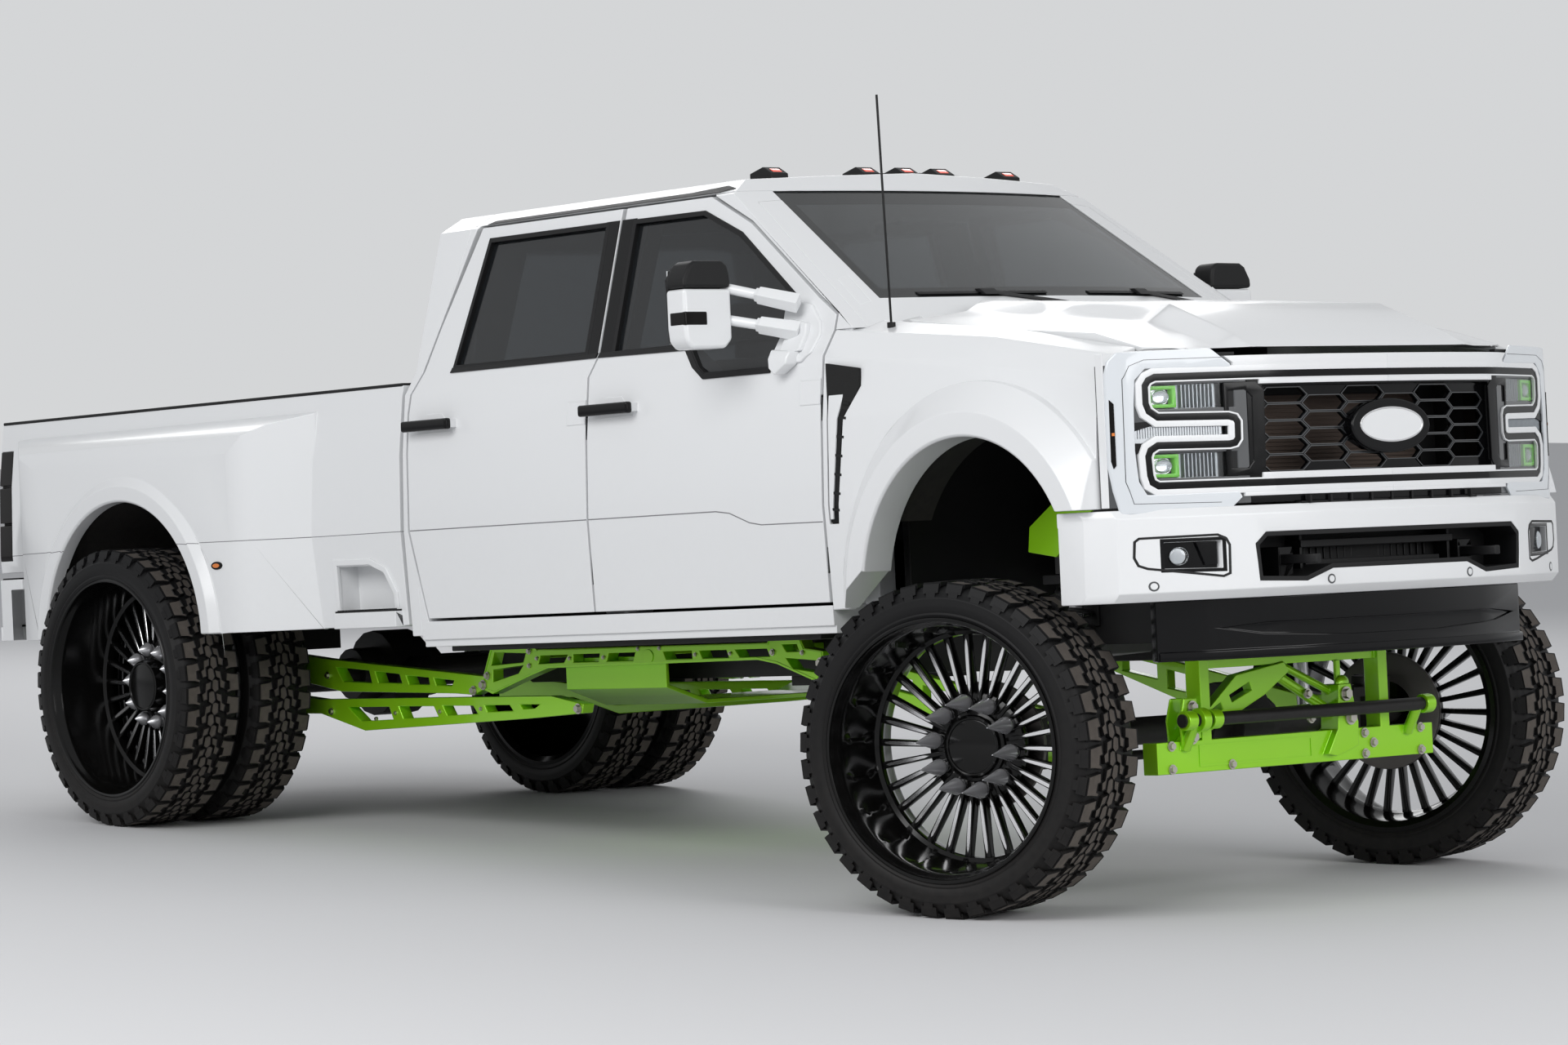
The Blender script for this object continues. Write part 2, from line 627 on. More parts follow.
# The other solids that keep their own shape: finish, slot and width of the rounded edges
PLAIN_SOLIDS = {
    "screen_frame": (WHITE, "black_trim", 0.002),
    "firewall": (BLACK_MOULDED, "paint", 0.002),
    "cab_floor": (CABIN, "paint", 0.0),
    "dashboard": (CABIN, "cabin_trim", 0.004),
    "bed_floor": (BED_LINER, "black_trim", 0.002),
    "fender_liners": (LINER_FELT, "black_trim", 0.0),
    "radiator_carrier": (BLACK_MOULDED, "black_trim", 0.0),
    "air_dam": (BLACK_GLOSS, "black_trim", 0.004),
    "step_boxes": (BLACK_SATIN, "black_trim", 0.004),
    "roof_lamps": (BLACK_MOULDED, "black_trim", 0.004),
    "aerial": (BLACK_MOULDED, "black_trim", 0.0),
    "frame_rails": (BLACK_SATIN, "chassis_black", 0.004),
    "cross_members": (BLACK_SATIN, "chassis_black", 0.003),
    "hitch_receiver": (BLACK_SATIN, "chassis_black", 0.002),
    "fuel_tank": (BLACK_MOULDED, "chassis_black", 0.012),
    "driveshaft": (BLACK_SATIN, "chassis_black", 0.0),
    "engine": (CAST, "engine_grey", 0.006),
    "front_axle": (BLACK_SATIN, "chassis_black", 0.003),
    "rear_axle": (BLACK_SATIN, "chassis_black", 0.003),
    "knuckle_left": (BLACK_SATIN, "chassis_black", 0.003),
    "knuckle_right": (BLACK_SATIN, "chassis_black", 0.003),
    "tie_rod": (BLACK_SATIN, "chassis_black", 0.0),
    "link_trusses": (GREEN, "suspension_green", 0.003),
    "belly_pan": (GREEN, "suspension_green", 0.003),
    "suspension_arms": (GREEN, "suspension_green", 0.004),
    "front_beam": (GREEN, "suspension_green", 0.003),
    "grille": (BLACK_GLOSS, "black_trim", 0.003),
    "headlamps": (LAMP_GREY, "lamp", 0.003),
    "tail_lamps": (SMOKED, "tail_lamp", 0.004),
}
for node, (surface, slot, edge) in PLAIN_SOLIDS.items():
    dressed(node, surface, slot, edge=edge)


# Helpers for trim
def bars(places, half, x, *heights):
    """Thin upright blocks side by side across the truck, at places in millimetres."""
    return [(block, x, (y / 1000 - half, y / 1000 + half), z) for y in places for z in heights]


def lamp_part(name, finish, shapes, slot="lamp", **options):
    """A piece of both headlamps, drawn on the left one and laid on the truck's face."""
    made(name, finish, slot, shapes, surface=on_face, both=True, **options)


def bumper_part(name, finish, slot, shapes, **options):
    """A piece on both halves of the front bumper."""
    made(name, finish, slot, shapes, surface=on_bumper, both=True, **options)


def flank_part(name, finish, slot, shapes, **options):
    """A piece on both flanks, drawn as (x, z)."""
    made(name, finish, slot, shapes, surface=on_flank, both=True, **options)


# Headlamps. Flat outlines are (y, z) on the left side and are mirrored.
LIGHT_PIPE = mm([
    (612, 1647), (673, 1697), (889, 1695), (956, 1692), (977, 1666), (984, 1628), (985, 1467), (984, 1344),
    (975, 1274), (960, 1203), (641, 1197), (592, 1241), (602, 1260), (885, 1259), (908, 1299), (916, 1393),
    (914, 1524), (908, 1606), (875, 1640), (613, 1637)])
FRAME_LINE = mm([
    (0, 1613), (846, 1613), (866, 1604), (876, 1588), (876, 1535), (868, 1512), (842, 1493), (624, 1489),
    (604, 1483), (596, 1470), (597, 1420), (606, 1407), (624, 1403), (845, 1406), (868, 1392), (875, 1374),
    (872, 1318), (866, 1296), (848, 1285), (479, 1283), (0, 1283)])
lamp_part("lamp_light_pipe", LIGHT_BAR, [(plate, LIGHT_PIPE, "x", -0.002, 0.010)], edge=0.004)
lamp_part("lamp_frame_white", WHITE, [(ribbon, FRAME_LINE, 0.011, 0.030, "x", -0.004, 0.009),
                                      (ribbon, FRAME_LINE, -0.0155, -0.010, "x", -0.008, 0.008)], edge=0.002)
lamp_part("lamp_frame_black", BLACK_GLOSS, [(ribbon, FRAME_LINE, -0.011, 0.012, "x", -0.004, 0.005)],
          edge=0.0015)

TOP_BAR = mm([(0, 1640), (604, 1640), (604, 1650), (632, 1672), (0, 1672)])
lamp_part("grille_bars_white", WHITE, [(plate, TOP_BAR, "x", -0.010, 0.0085),
                                       (plate, mm(rectangle(0, 520, 1584, 1599)), "x", -0.004, 0.008),
                                       (plate, mm(rectangle(0, 520, 1297, 1314)), "x", -0.004, 0.008),
                                       (plate, mm(rectangle(0, 584, 1243, 1255)), "x", -0.004, 0.0085)],
          slot="black_trim", edge=0.002)
TOP_FILLER = mm([(866, 584), (803, 760), (745, 905), (690, 905), (682, 812), (722, 806), (838, 590)])
made("lamp_top_filler", BLACK_MOULDED, "black_trim", [(plate, TOP_FILLER, "z", 1.652, 1.684)], both=True)
made("lamp_side_white", WHITE, "lamp", [(block, (0.6760, 0.7070), (0.9830, 0.9880), (1.2235, 1.6900))],
     both=True, edge=0.0015)
PIPE_LINE = mm([(640, 1668), (880, 1667), (925, 1650), (946, 1610), (948, 1300), (928, 1233), (660, 1228)])
lamp_part("lamp_pipe_line", LAMP_GREY, [(ribbon, PIPE_LINE, -0.0008, 0.0008, "x", 0.006, 0.0107)])
LAMP_MARKER = mm([(979, 1550), (969, 1537), (969, 1351), (975, 1341), (980, 1364)])
lamp_part("lamp_marker", SMOKED, [(plate, LAMP_MARKER, "x", 0.006, 0.013)], edge=0.001)
lamp_part("lamp_marker_spark", AMBER, [(plate, mm(rectangle(971, 977, 1441, 1450)), "x", 0.010, 0.0145)])

DAY_LAMP = mm([(640, 1466), (655, 1470), (910, 1464), (910, 1403), (684, 1423), (640, 1436)])
lamp_part("lamp_reflectors", REFLECTOR,
          bars(range(656, 764, 12), 0.0016, (-0.032, -0.014), (1.519, 1.589), (1.308, 1.380))
          + [(plate, mm(rectangle(640, 766, 1518, 1590)), "x", -0.033, -0.029),
             (plate, mm(rectangle(640, 766, 1307, 1381)), "x", -0.033, -0.029),
             (plate, DAY_LAMP, "x", -0.011, -0.005)]
          + bars(range(650, 905, 8), 0.001, (-0.008, -0.002), (1.430, 1.463)))
UPPER_SHADE = mm([(914, 1478), (914, 1452), (862, 1466), (846, 1482)])
LOWER_SHADE = mm([(914, 1380), (850, 1414), (914, 1416)])
lamp_part("lamp_bar_shades", BLACK_GLOSS, [(plate, UPPER_SHADE, "x", -0.012, 0.003),
                                           (plate, LOWER_SHADE, "x", -0.012, 0.003)])

# Each projector's shell: the heights of its outer edge, and the height of its lens
PROJECTORS = ((1518, 1590, 1554), (1307, 1382, 1345))
lamp_part("lamp_projector_shells", GREEN_LAMP,
          [(band, mm(rectangle(771, 857, low + 2, high - 2)), mm(rectangle(785, 846, low + 14, high - 14)),
            "x", -0.030, -0.010) for low, high, _ in PROJECTORS], edge=0.003)
lamp_part("lamp_projector_bowls", MILLED,
          [(plate, mm(oval((815, z), (33, 27))), "x", -0.0325, -0.028) for _, _, z in PROJECTORS])
lamp_part("lamp_projector_lenses", LENS,
          [(ball, (-0.019, 0.815, z / 1000), (0.011, 0.027, 0.022)) for _, _, z in PROJECTORS])
UPPER_COVER = mm([(640, 1590), (857, 1590), (863, 1536), (838, 1514), (640, 1514)])
LOWER_COVER = mm([(640, 1383), (852, 1383), (856, 1312), (845, 1304), (640, 1304)])
lamp_part("lamp_covers", LENS, [(plate, UPPER_COVER, "x", -0.006, -0.003),
                                (plate, LOWER_COVER, "x", -0.006, -0.003)])

# Grille
BUTTRESS = mm([(634, 1592), (528, 1593), (500, 1566), (505, 1332), (525, 1304), (631, 1306)])
BUTTRESS_IN = mm([(618, 1566), (566, 1567), (545, 1545), (548, 1350), (566, 1330), (615, 1331)])
lamp_part("grille_buttress", BLACK_GLOSS, [(band, BUTTRESS, BUTTRESS_IN, "x", -0.010, 0.0030)],
          slot="black_trim", edge=0.004)
lamp_part("grille_buttress_back", BLACK_MOULDED, [(plate, BUTTRESS, "x", -0.012, -0.003)], slot="black_trim")


def emblem_oval(half_y, half_z):
    """An oval of the plain badge. Its corners are many, because it is looked at closely."""
    return mm(oval((0, 1449), (half_y, half_z), 48))


made("emblem_bezel", BLACK_GLOSS, "black_trim",
     [(plate, mm(oval((0, 1446), (175, 85), 48)), "x", 0.930, 0.9545)], edge=0.006, segments=3)
made("emblem_ring", MILLED, "black_trim",
     [(band, emblem_oval(141, 55), emblem_oval(135, 49), "x", 0.950, 0.9575)], edge=0.001)
made("emblem_face", WHITE, "black_trim", [(plate, emblem_oval(136, 50), "x", 0.950, 0.9562)], edge=0.0008)

FIN_PITCH = 13
FINS = [(block, (0.641, 0.652), (-0.425, 0.425), (z / 1000, z / 1000 + 0.0035))
        for z in range(1270, 1556, FIN_PITCH)]
made("radiator_core", RADIATOR, "black_trim",
     FINS + [(block, (0.640, 0.646), (-0.428, 0.428), (1.264, 1.558))])
made("grille_foot_slots", BLACK_MOULDED, "black_trim",
     [(block, (0.800, 0.936), (-0.392, 0.392), (1.2155, 1.2215))]
     + bars(range(-360, 361, 90), 0.004, (0.930, 0.945), (1.2152, 1.240)))

# The grille's mesh: columns of flat hexagons, with one fewer in every second column
MESH_COLUMNS = 6
MESH_ROWS = 5
MESH_PITCH_Y = 162
MESH_PITCH_Z = 52
MESH_MIDDLE_Z = 1445


def mesh_cell(y, z):
    """The outline of one opening of the grille, in millimetres."""
    return [(y - 89.5, z), (y - 63.5, z + 22), (y + 63.5, z + 22), (y + 89.5, z), (y + 63.5, z - 22),
            (y - 63.5, z - 22)]


def mesh_lips():
    """A thin lip round each opening of the grille."""
    lips = []
    for column in range(MESH_COLUMNS):
        y = (column - (MESH_COLUMNS - 1) / 2) * MESH_PITCH_Y
        rows = MESH_ROWS - column % 2
        for row in range(rows):
            z = MESH_MIDDLE_Z + (row - (rows - 1) / 2) * MESH_PITCH_Z
            lips.append((hoop, mm(mesh_cell(y, z)), 0.0002, 0.0028, "x", -0.031, -0.0245))
    return lips


made("grille_mesh_lips", LAMP_GREY, "black_trim", mesh_lips(), surface=on_face)

# Front bumper
POD = mm([(672, 1012), (670, 1098), (680, 1118), (705, 1130), (925, 1128), (938, 1118), (941, 1070),
          (930, 1046), (905, 1036), (692, 1004)])
bumper_part("fog_pod_groove", BLACK_SATIN, "black_trim", [(hoop, POD, -0.0035, 0.0035, "x", -0.003, 0.0012)])
FOG = mm([(690, 1028), (690, 1114), (858, 1114), (858, 1032)])
FOG_SHADE = mm([(700, 1110), (760, 1110), (735, 1040), (700, 1040)])
bumper_part("fog_housing", BLACK_GLOSS, "lamp", [(hoop, FOG, -0.001, 0.010, "x", -0.030, 0.001),
                                                 (plate, FOG, "x", -0.034, -0.026),
                                                 (plate, FOG_SHADE, "x", -0.030, -0.012)], edge=0.0015)
bumper_part("fog_lens", LENS, "lamp", [(ball, (-0.018, 0.806, 1.070), (0.012, 0.026, 0.028))])
bumper_part("fog_lens_back", LIGHT_BAR, "lamp", [(ball, (-0.024, 0.806, 1.070), (0.004, 0.020, 0.022))])


def round_outline(centre, radius):
    """A circle's outline, given in millimetres."""
    return mm(oval(centre, (radius, radius), 24))


SENSORS = [(310, 980), (890, 982)]
bumper_part("bumper_sensors", WHITE, "paint",
            [(plate, round_outline(at, 10), "x", -0.002, 0.0025) for at in SENSORS], edge=0.0008)
bumper_part("bumper_sensor_rings", LAMP_GREY, "black_trim",
            [(band, round_outline(at, 15), round_outline(at, 10.5), "x", -0.002, 0.0012) for at in SENSORS])
MOUTH = mm([(-550, 1132), (550, 1132), (590, 1098), (580, 985), (400, 978), (300, 1013), (-300, 1013),
            (-400, 978), (-580, 985), (-590, 1098)])
made("bumper_mouth_liner", BLACK_MOULDED, "black_trim",
     [(hoop, MOUTH, -0.014, 0.001, "x", -0.165, -0.002), (plate, MOUTH, "x", -0.172, -0.162)],
     surface=on_bumper, edge=0.002)
made("bumper_mouth_bars", BLACK_SATIN, "black_trim",
     [(block, (0.780, 0.790), (-0.66, 0.66), (0.962, 1.150)),
      (block, (0.800, 0.872), (-0.34, 0.34), (1.080, 1.102)),
      (block, (0.800, 0.850), (-0.30, 0.30), (1.020, 1.040))]
     + bars((-330, 330), 0.006, (0.800, 0.862), (0.995, 1.125))
     + bars(range(-270, 271, 30), 0.003, (0.800, 0.815), (1.042, 1.078)), edge=0.002)

# Doors. Outlines are (x, z), and each piece rides on its own door.
HANDLE_Z = 1655
DOOR_TRIM = {
    "rear": {
        "window": mm([(-2645, 1858), (-2560, 2292), (-1892, 2292), (-1892, 1858)]),
        "sill": mm([(-2662, 1846), (-1826, 1846)]),
        "pillar": mm([(-1900, 1850), (-1900, 2306), (-1828, 2306), (-1828, 1850)]),
        "crease": mm([(-2846, 1288), (-1826, 1288)]),
        "handle": (-2830, -2565),
        "hinge": -1895,
    },
    "front": {
        "window": mm([(-1735, 1850), (-1735, 2290), (-1365, 2288), (-1150, 2200), (-820, 1975), (-850, 1745),
                      (-1190, 1745), (-1330, 1850)]),
        "sill": mm([(-1814, 1846), (-1332, 1841), (-1192, 1737), (-848, 1737)]),
        "pillar": mm([(-1812, 1850), (-1812, 2306), (-1733, 2306), (-1733, 1850)]),
        "crease": mm([(-1814, 1288), (-1130, 1288), (-1060, 1280), (-960, 1245), (-900, 1236), (-592, 1234)]),
        "handle": (-1805, -1540),
        "hinge": -660,
    },
}


def handle_cup(back, front):
    """The hollow behind a door handle, as an outline in millimetres."""
    z = HANDLE_Z
    return [(back + 12, z - 32), (back + 6, z - 10), (back + 70, z + 12), (back + 84, z + 40),
            (back + 176, z + 40), (back + 196, z + 20), (front - 12, z - 8), (front - 20, z - 30)]


def dress_door(end, side, flip):
    """A door's window seal, post cover, crease, hinge cover and handle."""
    label = f"door_{end}_{side}"
    trim = DOOR_TRIM[end]
    options = {"body": nodes[label]["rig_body"], "place": BODY @ flip}
    on_door = {"surface": on_flank, **options}
    made(f"{label}_window_seal", BLACK_MOULDED, "black_trim",
         [(hoop, trim["window"], -0.004, 0.013, "y", -0.014, 0.004),
          (ribbon, trim["sill"], -0.010, 0.008, "y", -0.004, 0.006)], edge=0.0015, **on_door)
    made(f"{label}_pillar_cover", BLACK_GLOSS, "black_trim", [(plate, trim["pillar"], "y", -0.003, 0.0032)],
         edge=0.001, **on_door)
    made(f"{label}_crease", CREASE_GREY, "paint",
         [(ribbon, trim["crease"], -0.0018, 0.0018, "y", -0.001, 0.0007)], **on_door)
    cover = mm(rectangle(trim["hinge"] - 34, trim["hinge"] + 69, 1612, 1694))
    made(f"{label}_hinge_cover", WHITE, "paint",
         [(hoop, cover, 0.0, 0.004, "y", -0.002, 0.003), (plate, cover, "y", 0.0015, 0.003)],
         edge=0.001, **on_door)
    x0, x1 = (x / 1000 for x in trim["handle"])
    z = HANDLE_Z / 1000
    made(f"{label}_handle_grip", BLACK_GLOSS, "black_trim",
         [(block, (x0 - 0.003, x1 + 0.003), (1.0255, 1.0535), (z - 0.0195, z + 0.0195))],
         edge=0.009, segments=4, **options)
    made(f"{label}_handle_cup", WHITE, "paint",
         [(plate, mm(handle_cup(*trim["handle"])), "y", -0.004, 0.003)], edge=0.0025, **on_door)


# Tow mirrors. The head's outlines are (y, z), the sail's are (x, z).
MIRROR_Z = 1.955
MIRROR_HEAD = mm([(1093, 1842), (1120, 1813), (1262, 1811), (1285, 1836), (1290, 1880), (1290, 2006),
                  (1092, 2006)])
MIRROR_CAP = mm([(1092, 2009), (1290, 2009), (1287, 2040), (1262, 2084), (1240, 2097), (1122, 2098),
                 (1102, 2082), (1094, 2050)])
MIRROR_RIM = mm([(1096, 1846), (1122, 1820), (1260, 1818), (1280, 1840), (1284, 2040), (1258, 2080),
                 (1126, 2090), (1098, 2050)])
MIRROR_SAIL = mm([(-846, 1962), (-800, 1962), (-712, 1940), (-655, 1880), (-640, 1835), (-648, 1780),
                  (-690, 1752), (-846, 1748)])
SAIL_BOSS = mm([(-800, 1900), (-700, 1880), (-690, 1790), (-790, 1780)])
FOOT_LAMP = mm([(-810, 1800), (-706, 1790), (-712, 1748), (-770, 1716), (-800, 1738)])


def mirror_arms():
    """Two arms, each with a broad foot, a knuckle and a round outer end."""
    arms = []
    for height_in, height_out in ((-0.010, 0.058), (-0.100, -0.046)):
        start = Vector((-0.735, 0.955, MIRROR_Z + height_in))
        end = Vector((-0.950, 1.100, MIRROR_Z + height_out))
        knee = start.lerp(end, 0.52)
        arms += [(rod, knee, end, 0.017), (rod, start, knee, 0.034, 0.030, 4),
                 (rod, start.lerp(end, 0.46), start.lerp(end, 0.56), 0.024, 0.024, 4)]
    return arms


def dress_mirror(side, flip):
    """A tow mirror: white head with a black cap, its lens and glass, two arms and the sail on the door."""
    label = f"mirror_{side}"
    options = {"body": nodes[label]["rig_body"], "place": BODY @ flip}
    made(f"{label}_head", WHITE, "black_trim", [(plate, MIRROR_HEAD, "x", -1.004, -0.908)], edge=0.013,
         segments=4, replaces=(label,), **options)
    made(f"{label}_cap", BLACK_MOULDED, "black_trim", [(plate, MIRROR_CAP, "x", -1.004, -0.908)], edge=0.012,
         segments=4, **options)
    made(f"{label}_rim", BLACK_MOULDED, "black_trim", [(plate, MIRROR_RIM, "x", -1.011, -0.995)], edge=0.003,
         **options)
    made(f"{label}_glass", MIRROR_GLASS, "glass",
         [(plate, mm(rectangle(1108, 1274, 1925, 2070)), "x", -1.0135, -1.008),
          (plate, mm(rectangle(1112, 1272, 1832, 1915)), "x", -1.0135, -1.008)], edge=0.0008, **options)
    made(f"{label}_lens", SMOKED, "lamp", [(block, (-0.985, -0.9055), (1.198, 1.2915), (1.888, 1.932))],
         edge=0.005, segments=3, **options)
    made(f"{label}_arms", WHITE, "black_trim", mirror_arms(), edge=0.004, **options)
    made(f"{label}_sail", WHITE, "black_trim",
         [(plate, MIRROR_SAIL, "y", -0.014, 0.010), (plate, SAIL_BOSS, "y", 0.004, 0.030)],
         surface=on_flank, edge=0.006, segments=3, **options)
    made(f"{label}_foot_lamp", WHITE, "black_trim", [(plate, FOOT_LAMP, "y", 0.000, 0.052)],
         surface=on_flank, edge=0.006, segments=3, **options)


for side, flip in SIDES:
    for end in DOOR_TRIM:
        dress_door(end, side, flip)
    dress_mirror(side, flip)

# Fender vents
VENT_STRIP = mm([(-556, 1734), (-406, 1711), (-406, 1664), (-484, 1562), (-520, 1229), (-556, 1229)])
VENT_WHITE = mm([(-552, 1678), (-480, 1668), (-478, 1640), (-508, 1560), (-538, 1240), (-552, 1240)])
VENT_TAG = mm([(-550, 1716), (-424, 1697), (-424, 1676), (-550, 1694)])
RUNG_PLACES = ((-472, 1640), (-484, 1605), (-498, 1560), (-510, 1500), (-518, 1440), (-524, 1380),
               (-530, 1320), (-538, 1268))
RUNG_LENGTH = 34
flank_part("vent_panel", BLACK_GLOSS, "black_trim", [(plate, VENT_STRIP, "y", -0.016, -0.004)], edge=0.001)
flank_part("vent_tag_panel", WHITE, "paint", [(plate, VENT_WHITE, "y", -0.006, 0.001)], edge=0.002)
flank_part("vent_tag", GREEN_LAMP, "suspension_green", [(plate, VENT_TAG, "y", -0.006, 0.002)], edge=0.001)
flank_part("vent_rungs", BLACK_MOULDED, "black_trim",
           [(plate, mm([(x, z), (x + RUNG_LENGTH, z - 4), (x + RUNG_LENGTH, z + 4), (x, z + 8)]), "y", -0.006,
             0.001) for x, z in RUNG_PLACES])

# Roof, windscreen and cowl
DRIP_RAIL = mm([(-2625, 2357), (-2600, 2369), (-1500, 2373), (-1330, 2382), (-1262, 2368), (-1330, 2358)])
FRIT_OUT = mm([(-733, 1950), (-653, 2351), (653, 2351), (733, 1950)])
FRIT_IN = mm([(-690, 1985), (-625, 2300), (625, 2300), (690, 1985)])
WIPERS = {"left": 376, "right": -325}
ROOF_LAMPS = ((-1360, 530), (-1300, 170), (-1290, 0), (-1300, -170), (-1360, -530))
LAMP_HALF = 0.020
flank_part("roof_drip_rail", BLACK_MOULDED, "black_trim", [(plate, DRIP_RAIL, "y", -0.006, 0.006)],
           edge=0.002)
made("windscreen_border", BLACK_GLOSS, "black_trim", [(band, FRIT_OUT, FRIT_IN, "x", -0.0135, -0.0115)],
     surface=on_screen)
for label, y in WIPERS.items():
    arm = mm([(y - 40, 1966), (y + 30, 1970), (y + 300, 1932), (y + 300, 1918)])
    made(f"wiper_{label}", BLACK_MOULDED, "black_trim",
         [(plate, mm(rectangle(y - 260, y + 250, 1962, 1972)), "x", -0.010, 0.002),
          (plate, arm, "x", -0.004, 0.012)] + bars((y,), 0.030, (-0.004, 0.022), (1.958, 1.980)),
         surface=on_screen, edge=0.002)
made("cowl_panel", BLACK_MOULDED, "black_trim",
     [(block, (-0.555, -0.395), (-0.68, 0.68), (1.826, 1.834))]
     + bars(range(-660, 661, 30), 0.004, (-0.545, -0.405), (1.832, 1.839)))
for count, (x, y) in enumerate(ROOF_LAMPS):
    lens = mm([(x + 8, 2447), (x + 30, 2441), (x + 46, 2431), (x + 40, 2424), (x + 8, 2436)])
    made(f"roof_lamp_lens_{count}", RED_MARKER, "lamp",
         [(plate, lens, "y", y / 1000 - LAMP_HALF, y / 1000 + LAMP_HALF)], edge=0.002)

# Bed rails and tailgate
ON_TAILGATE = {"body": nodes["tailgate"]["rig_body"]}
GATE_PANEL = mm([(-760, 1330), (760, 1330), (790, 1360), (790, 1600), (740, 1640), (-740, 1640), (-790, 1600),
                 (-790, 1360)])
HANDLE_OUT = mm(rectangle(-130, 130, 1655, 1745))
HANDLE_IN = mm(rectangle(-112, 112, 1672, 1728))
made("bed_rail_caps", BLACK_MOULDED, "black_trim",
     [(block, (-5.607, -2.908), (0.846, 0.9815), (1.804, 1.816))], both=True, edge=0.004, segments=3)
made("bed_front_cap", BLACK_MOULDED, "black_trim",
     [(block, (-2.950, -2.907), (-0.848, 0.848), (1.798, 1.812))], edge=0.004)
made("tailgate_cap", BLACK_MOULDED, "black_trim",
     [(block, (-5.608, -5.552), (-0.822, 0.822), (1.796, 1.8085))], edge=0.004, segments=3, **ON_TAILGATE)
made("tailgate_handle", BLACK_GLOSS, "black_trim",
     [(band, HANDLE_OUT, HANDLE_IN, "x", -5.6155, -5.600),
      (block, (-5.6145, -5.600), (-0.100, 0.100), (1.690, 1.712))], edge=0.003, **ON_TAILGATE)
made("tailgate_panel", WHITE, "paint", [(plate, GATE_PANEL, "x", -5.6125, -5.606)], edge=0.005, **ON_TAILGATE)

# Markers on the bulges over the rear wheels
BULGE_MARKER = (-3801, 1202)
made("bulge_marker", SMOKED, "lamp", [(plate, mm(oval(BULGE_MARKER, (34, 15))), "y", 1.196, 1.2105)],
     both=True, edge=0.003)
made("bulge_marker_spark", AMBER, "lamp", [(plate, mm(oval(BULGE_MARKER, (22, 8))), "y", 1.200, 1.2118)],
     both=True, edge=0.001)

# Side step, rear step pad and corner steps
STEP_EDGE = mm([(-3318, 1186), (-3108, 1184), (-3018, 1152), (-2964, 1070), (-2964, 1008), (-3318, 1008)])
STEP_RIB = 0.008
PAD_PLAN = mm([(-5628, 0), (-5628, 880), (-5600, 960), (-5470, 1000), (-5470, 1022), (-5596, 1022),
               (-5738, 896), (-5762, 600), (-5767, 0)])
CORNER_STEP = mm([(-5600, 1026), (-5742, 898), (-5762, 700), (-5766, 620), (-5774, 620), (-5770, 702),
                  (-5750, 902), (-5606, 1034)])
CORNER_PAD = mm([(-5590, 1010), (-5700, 915), (-5704, 640), (-5768, 640), (-5764, 702), (-5744, 900),
                 (-5604, 1028)])
flank_part("step_border", WHITE, "paint", [(hoop, STEP_EDGE, -0.008, 0.016, "y", -0.012, 0.006)], edge=0.004,
           segments=3)
made("step_tread", BLACK_MOULDED, "black_trim",
     [(block, (-3.314, -2.939), (0.936, 1.030), (1.006, 1.0145))]
     + [(block, (x / 1000, x / 1000 + STEP_RIB), (0.940, 1.026), (1.013, 1.0175))
        for x in range(-3306, -2946, 20)], both=True)
made("rear_step_pad", BLACK_MOULDED, "black_trim", [(plate, PAD_PLAN, "z", 1.191, 1.2015)], both=True,
     edge=0.003)
made("rear_corner_step", WHITE, "paint", [(plate, CORNER_STEP, "z", 0.956, 1.010)], both=True, edge=0.003)
made("rear_corner_pad", BLACK_MOULDED, "black_trim", [(plate, CORNER_PAD, "z", 1.008, 1.016)], both=True,
     edge=0.002)

# The gap between cab and bed, and the tailgate's pins
GAP_SEAL = mm([(965, 960), (985, 1288), (976, 1560), (952, 1770), (930, 1790), (930, 960)])
made("cab_gap_seal", BLACK_SATIN, "black_trim", [(plate, GAP_SEAL, "x", -2.9035, -2.8985)], both=True)
made("tailgate_pin_caps", BLACK_SATIN, "black_trim", [(ball, (-5.585, 0.976, 1.232), (0.010, 0.006, 0.010))],
     both=True)


# Wheels. Each is made about its own centre with +Y outward.
SPOKES = 30
LUG_NUTS = 10
NUT_CIRCLE_R = 0.1375
NUT_START = radians(6)
POCKETS = 20
POCKET_STEPS = 12
POCKET_ROWS = 12
# Places along Y: half the tyre's width, the rim's lip, the disc's face, the cap's top and the rim's back.
# Then the depth of the barrel's pockets, and how far the lug nuts stand out from the disc.
FRONT_WHEEL = {"half": 0.1718, "lip": 0.1743, "disc": -0.060, "cap": -0.023, "back": -0.170, "pocket": 0.014,
               "spike": 0.146}
REAR_WHEEL = {"half": 0.134, "lip": 0.131, "disc": -0.100, "cap": -0.021, "back": -0.130, "pocket": 0.0,
              "spike": 0.076}


def angle_about_y(co):
    """Where a point is round the axle, in radians."""
    return Vector((co.x, co.z)).angle_signed(Vector((1, 0)), 0.0)


def crescent(angle, along):
    """How deep a pocket is: it deepens evenly round the rim and ends at a curved edge."""
    turn = (angle * POCKETS / (2 * pi)) % 1.0
    edge = 0.70 + 0.20 * sin(pi * along)
    return turn / edge if turn < edge else 0.0


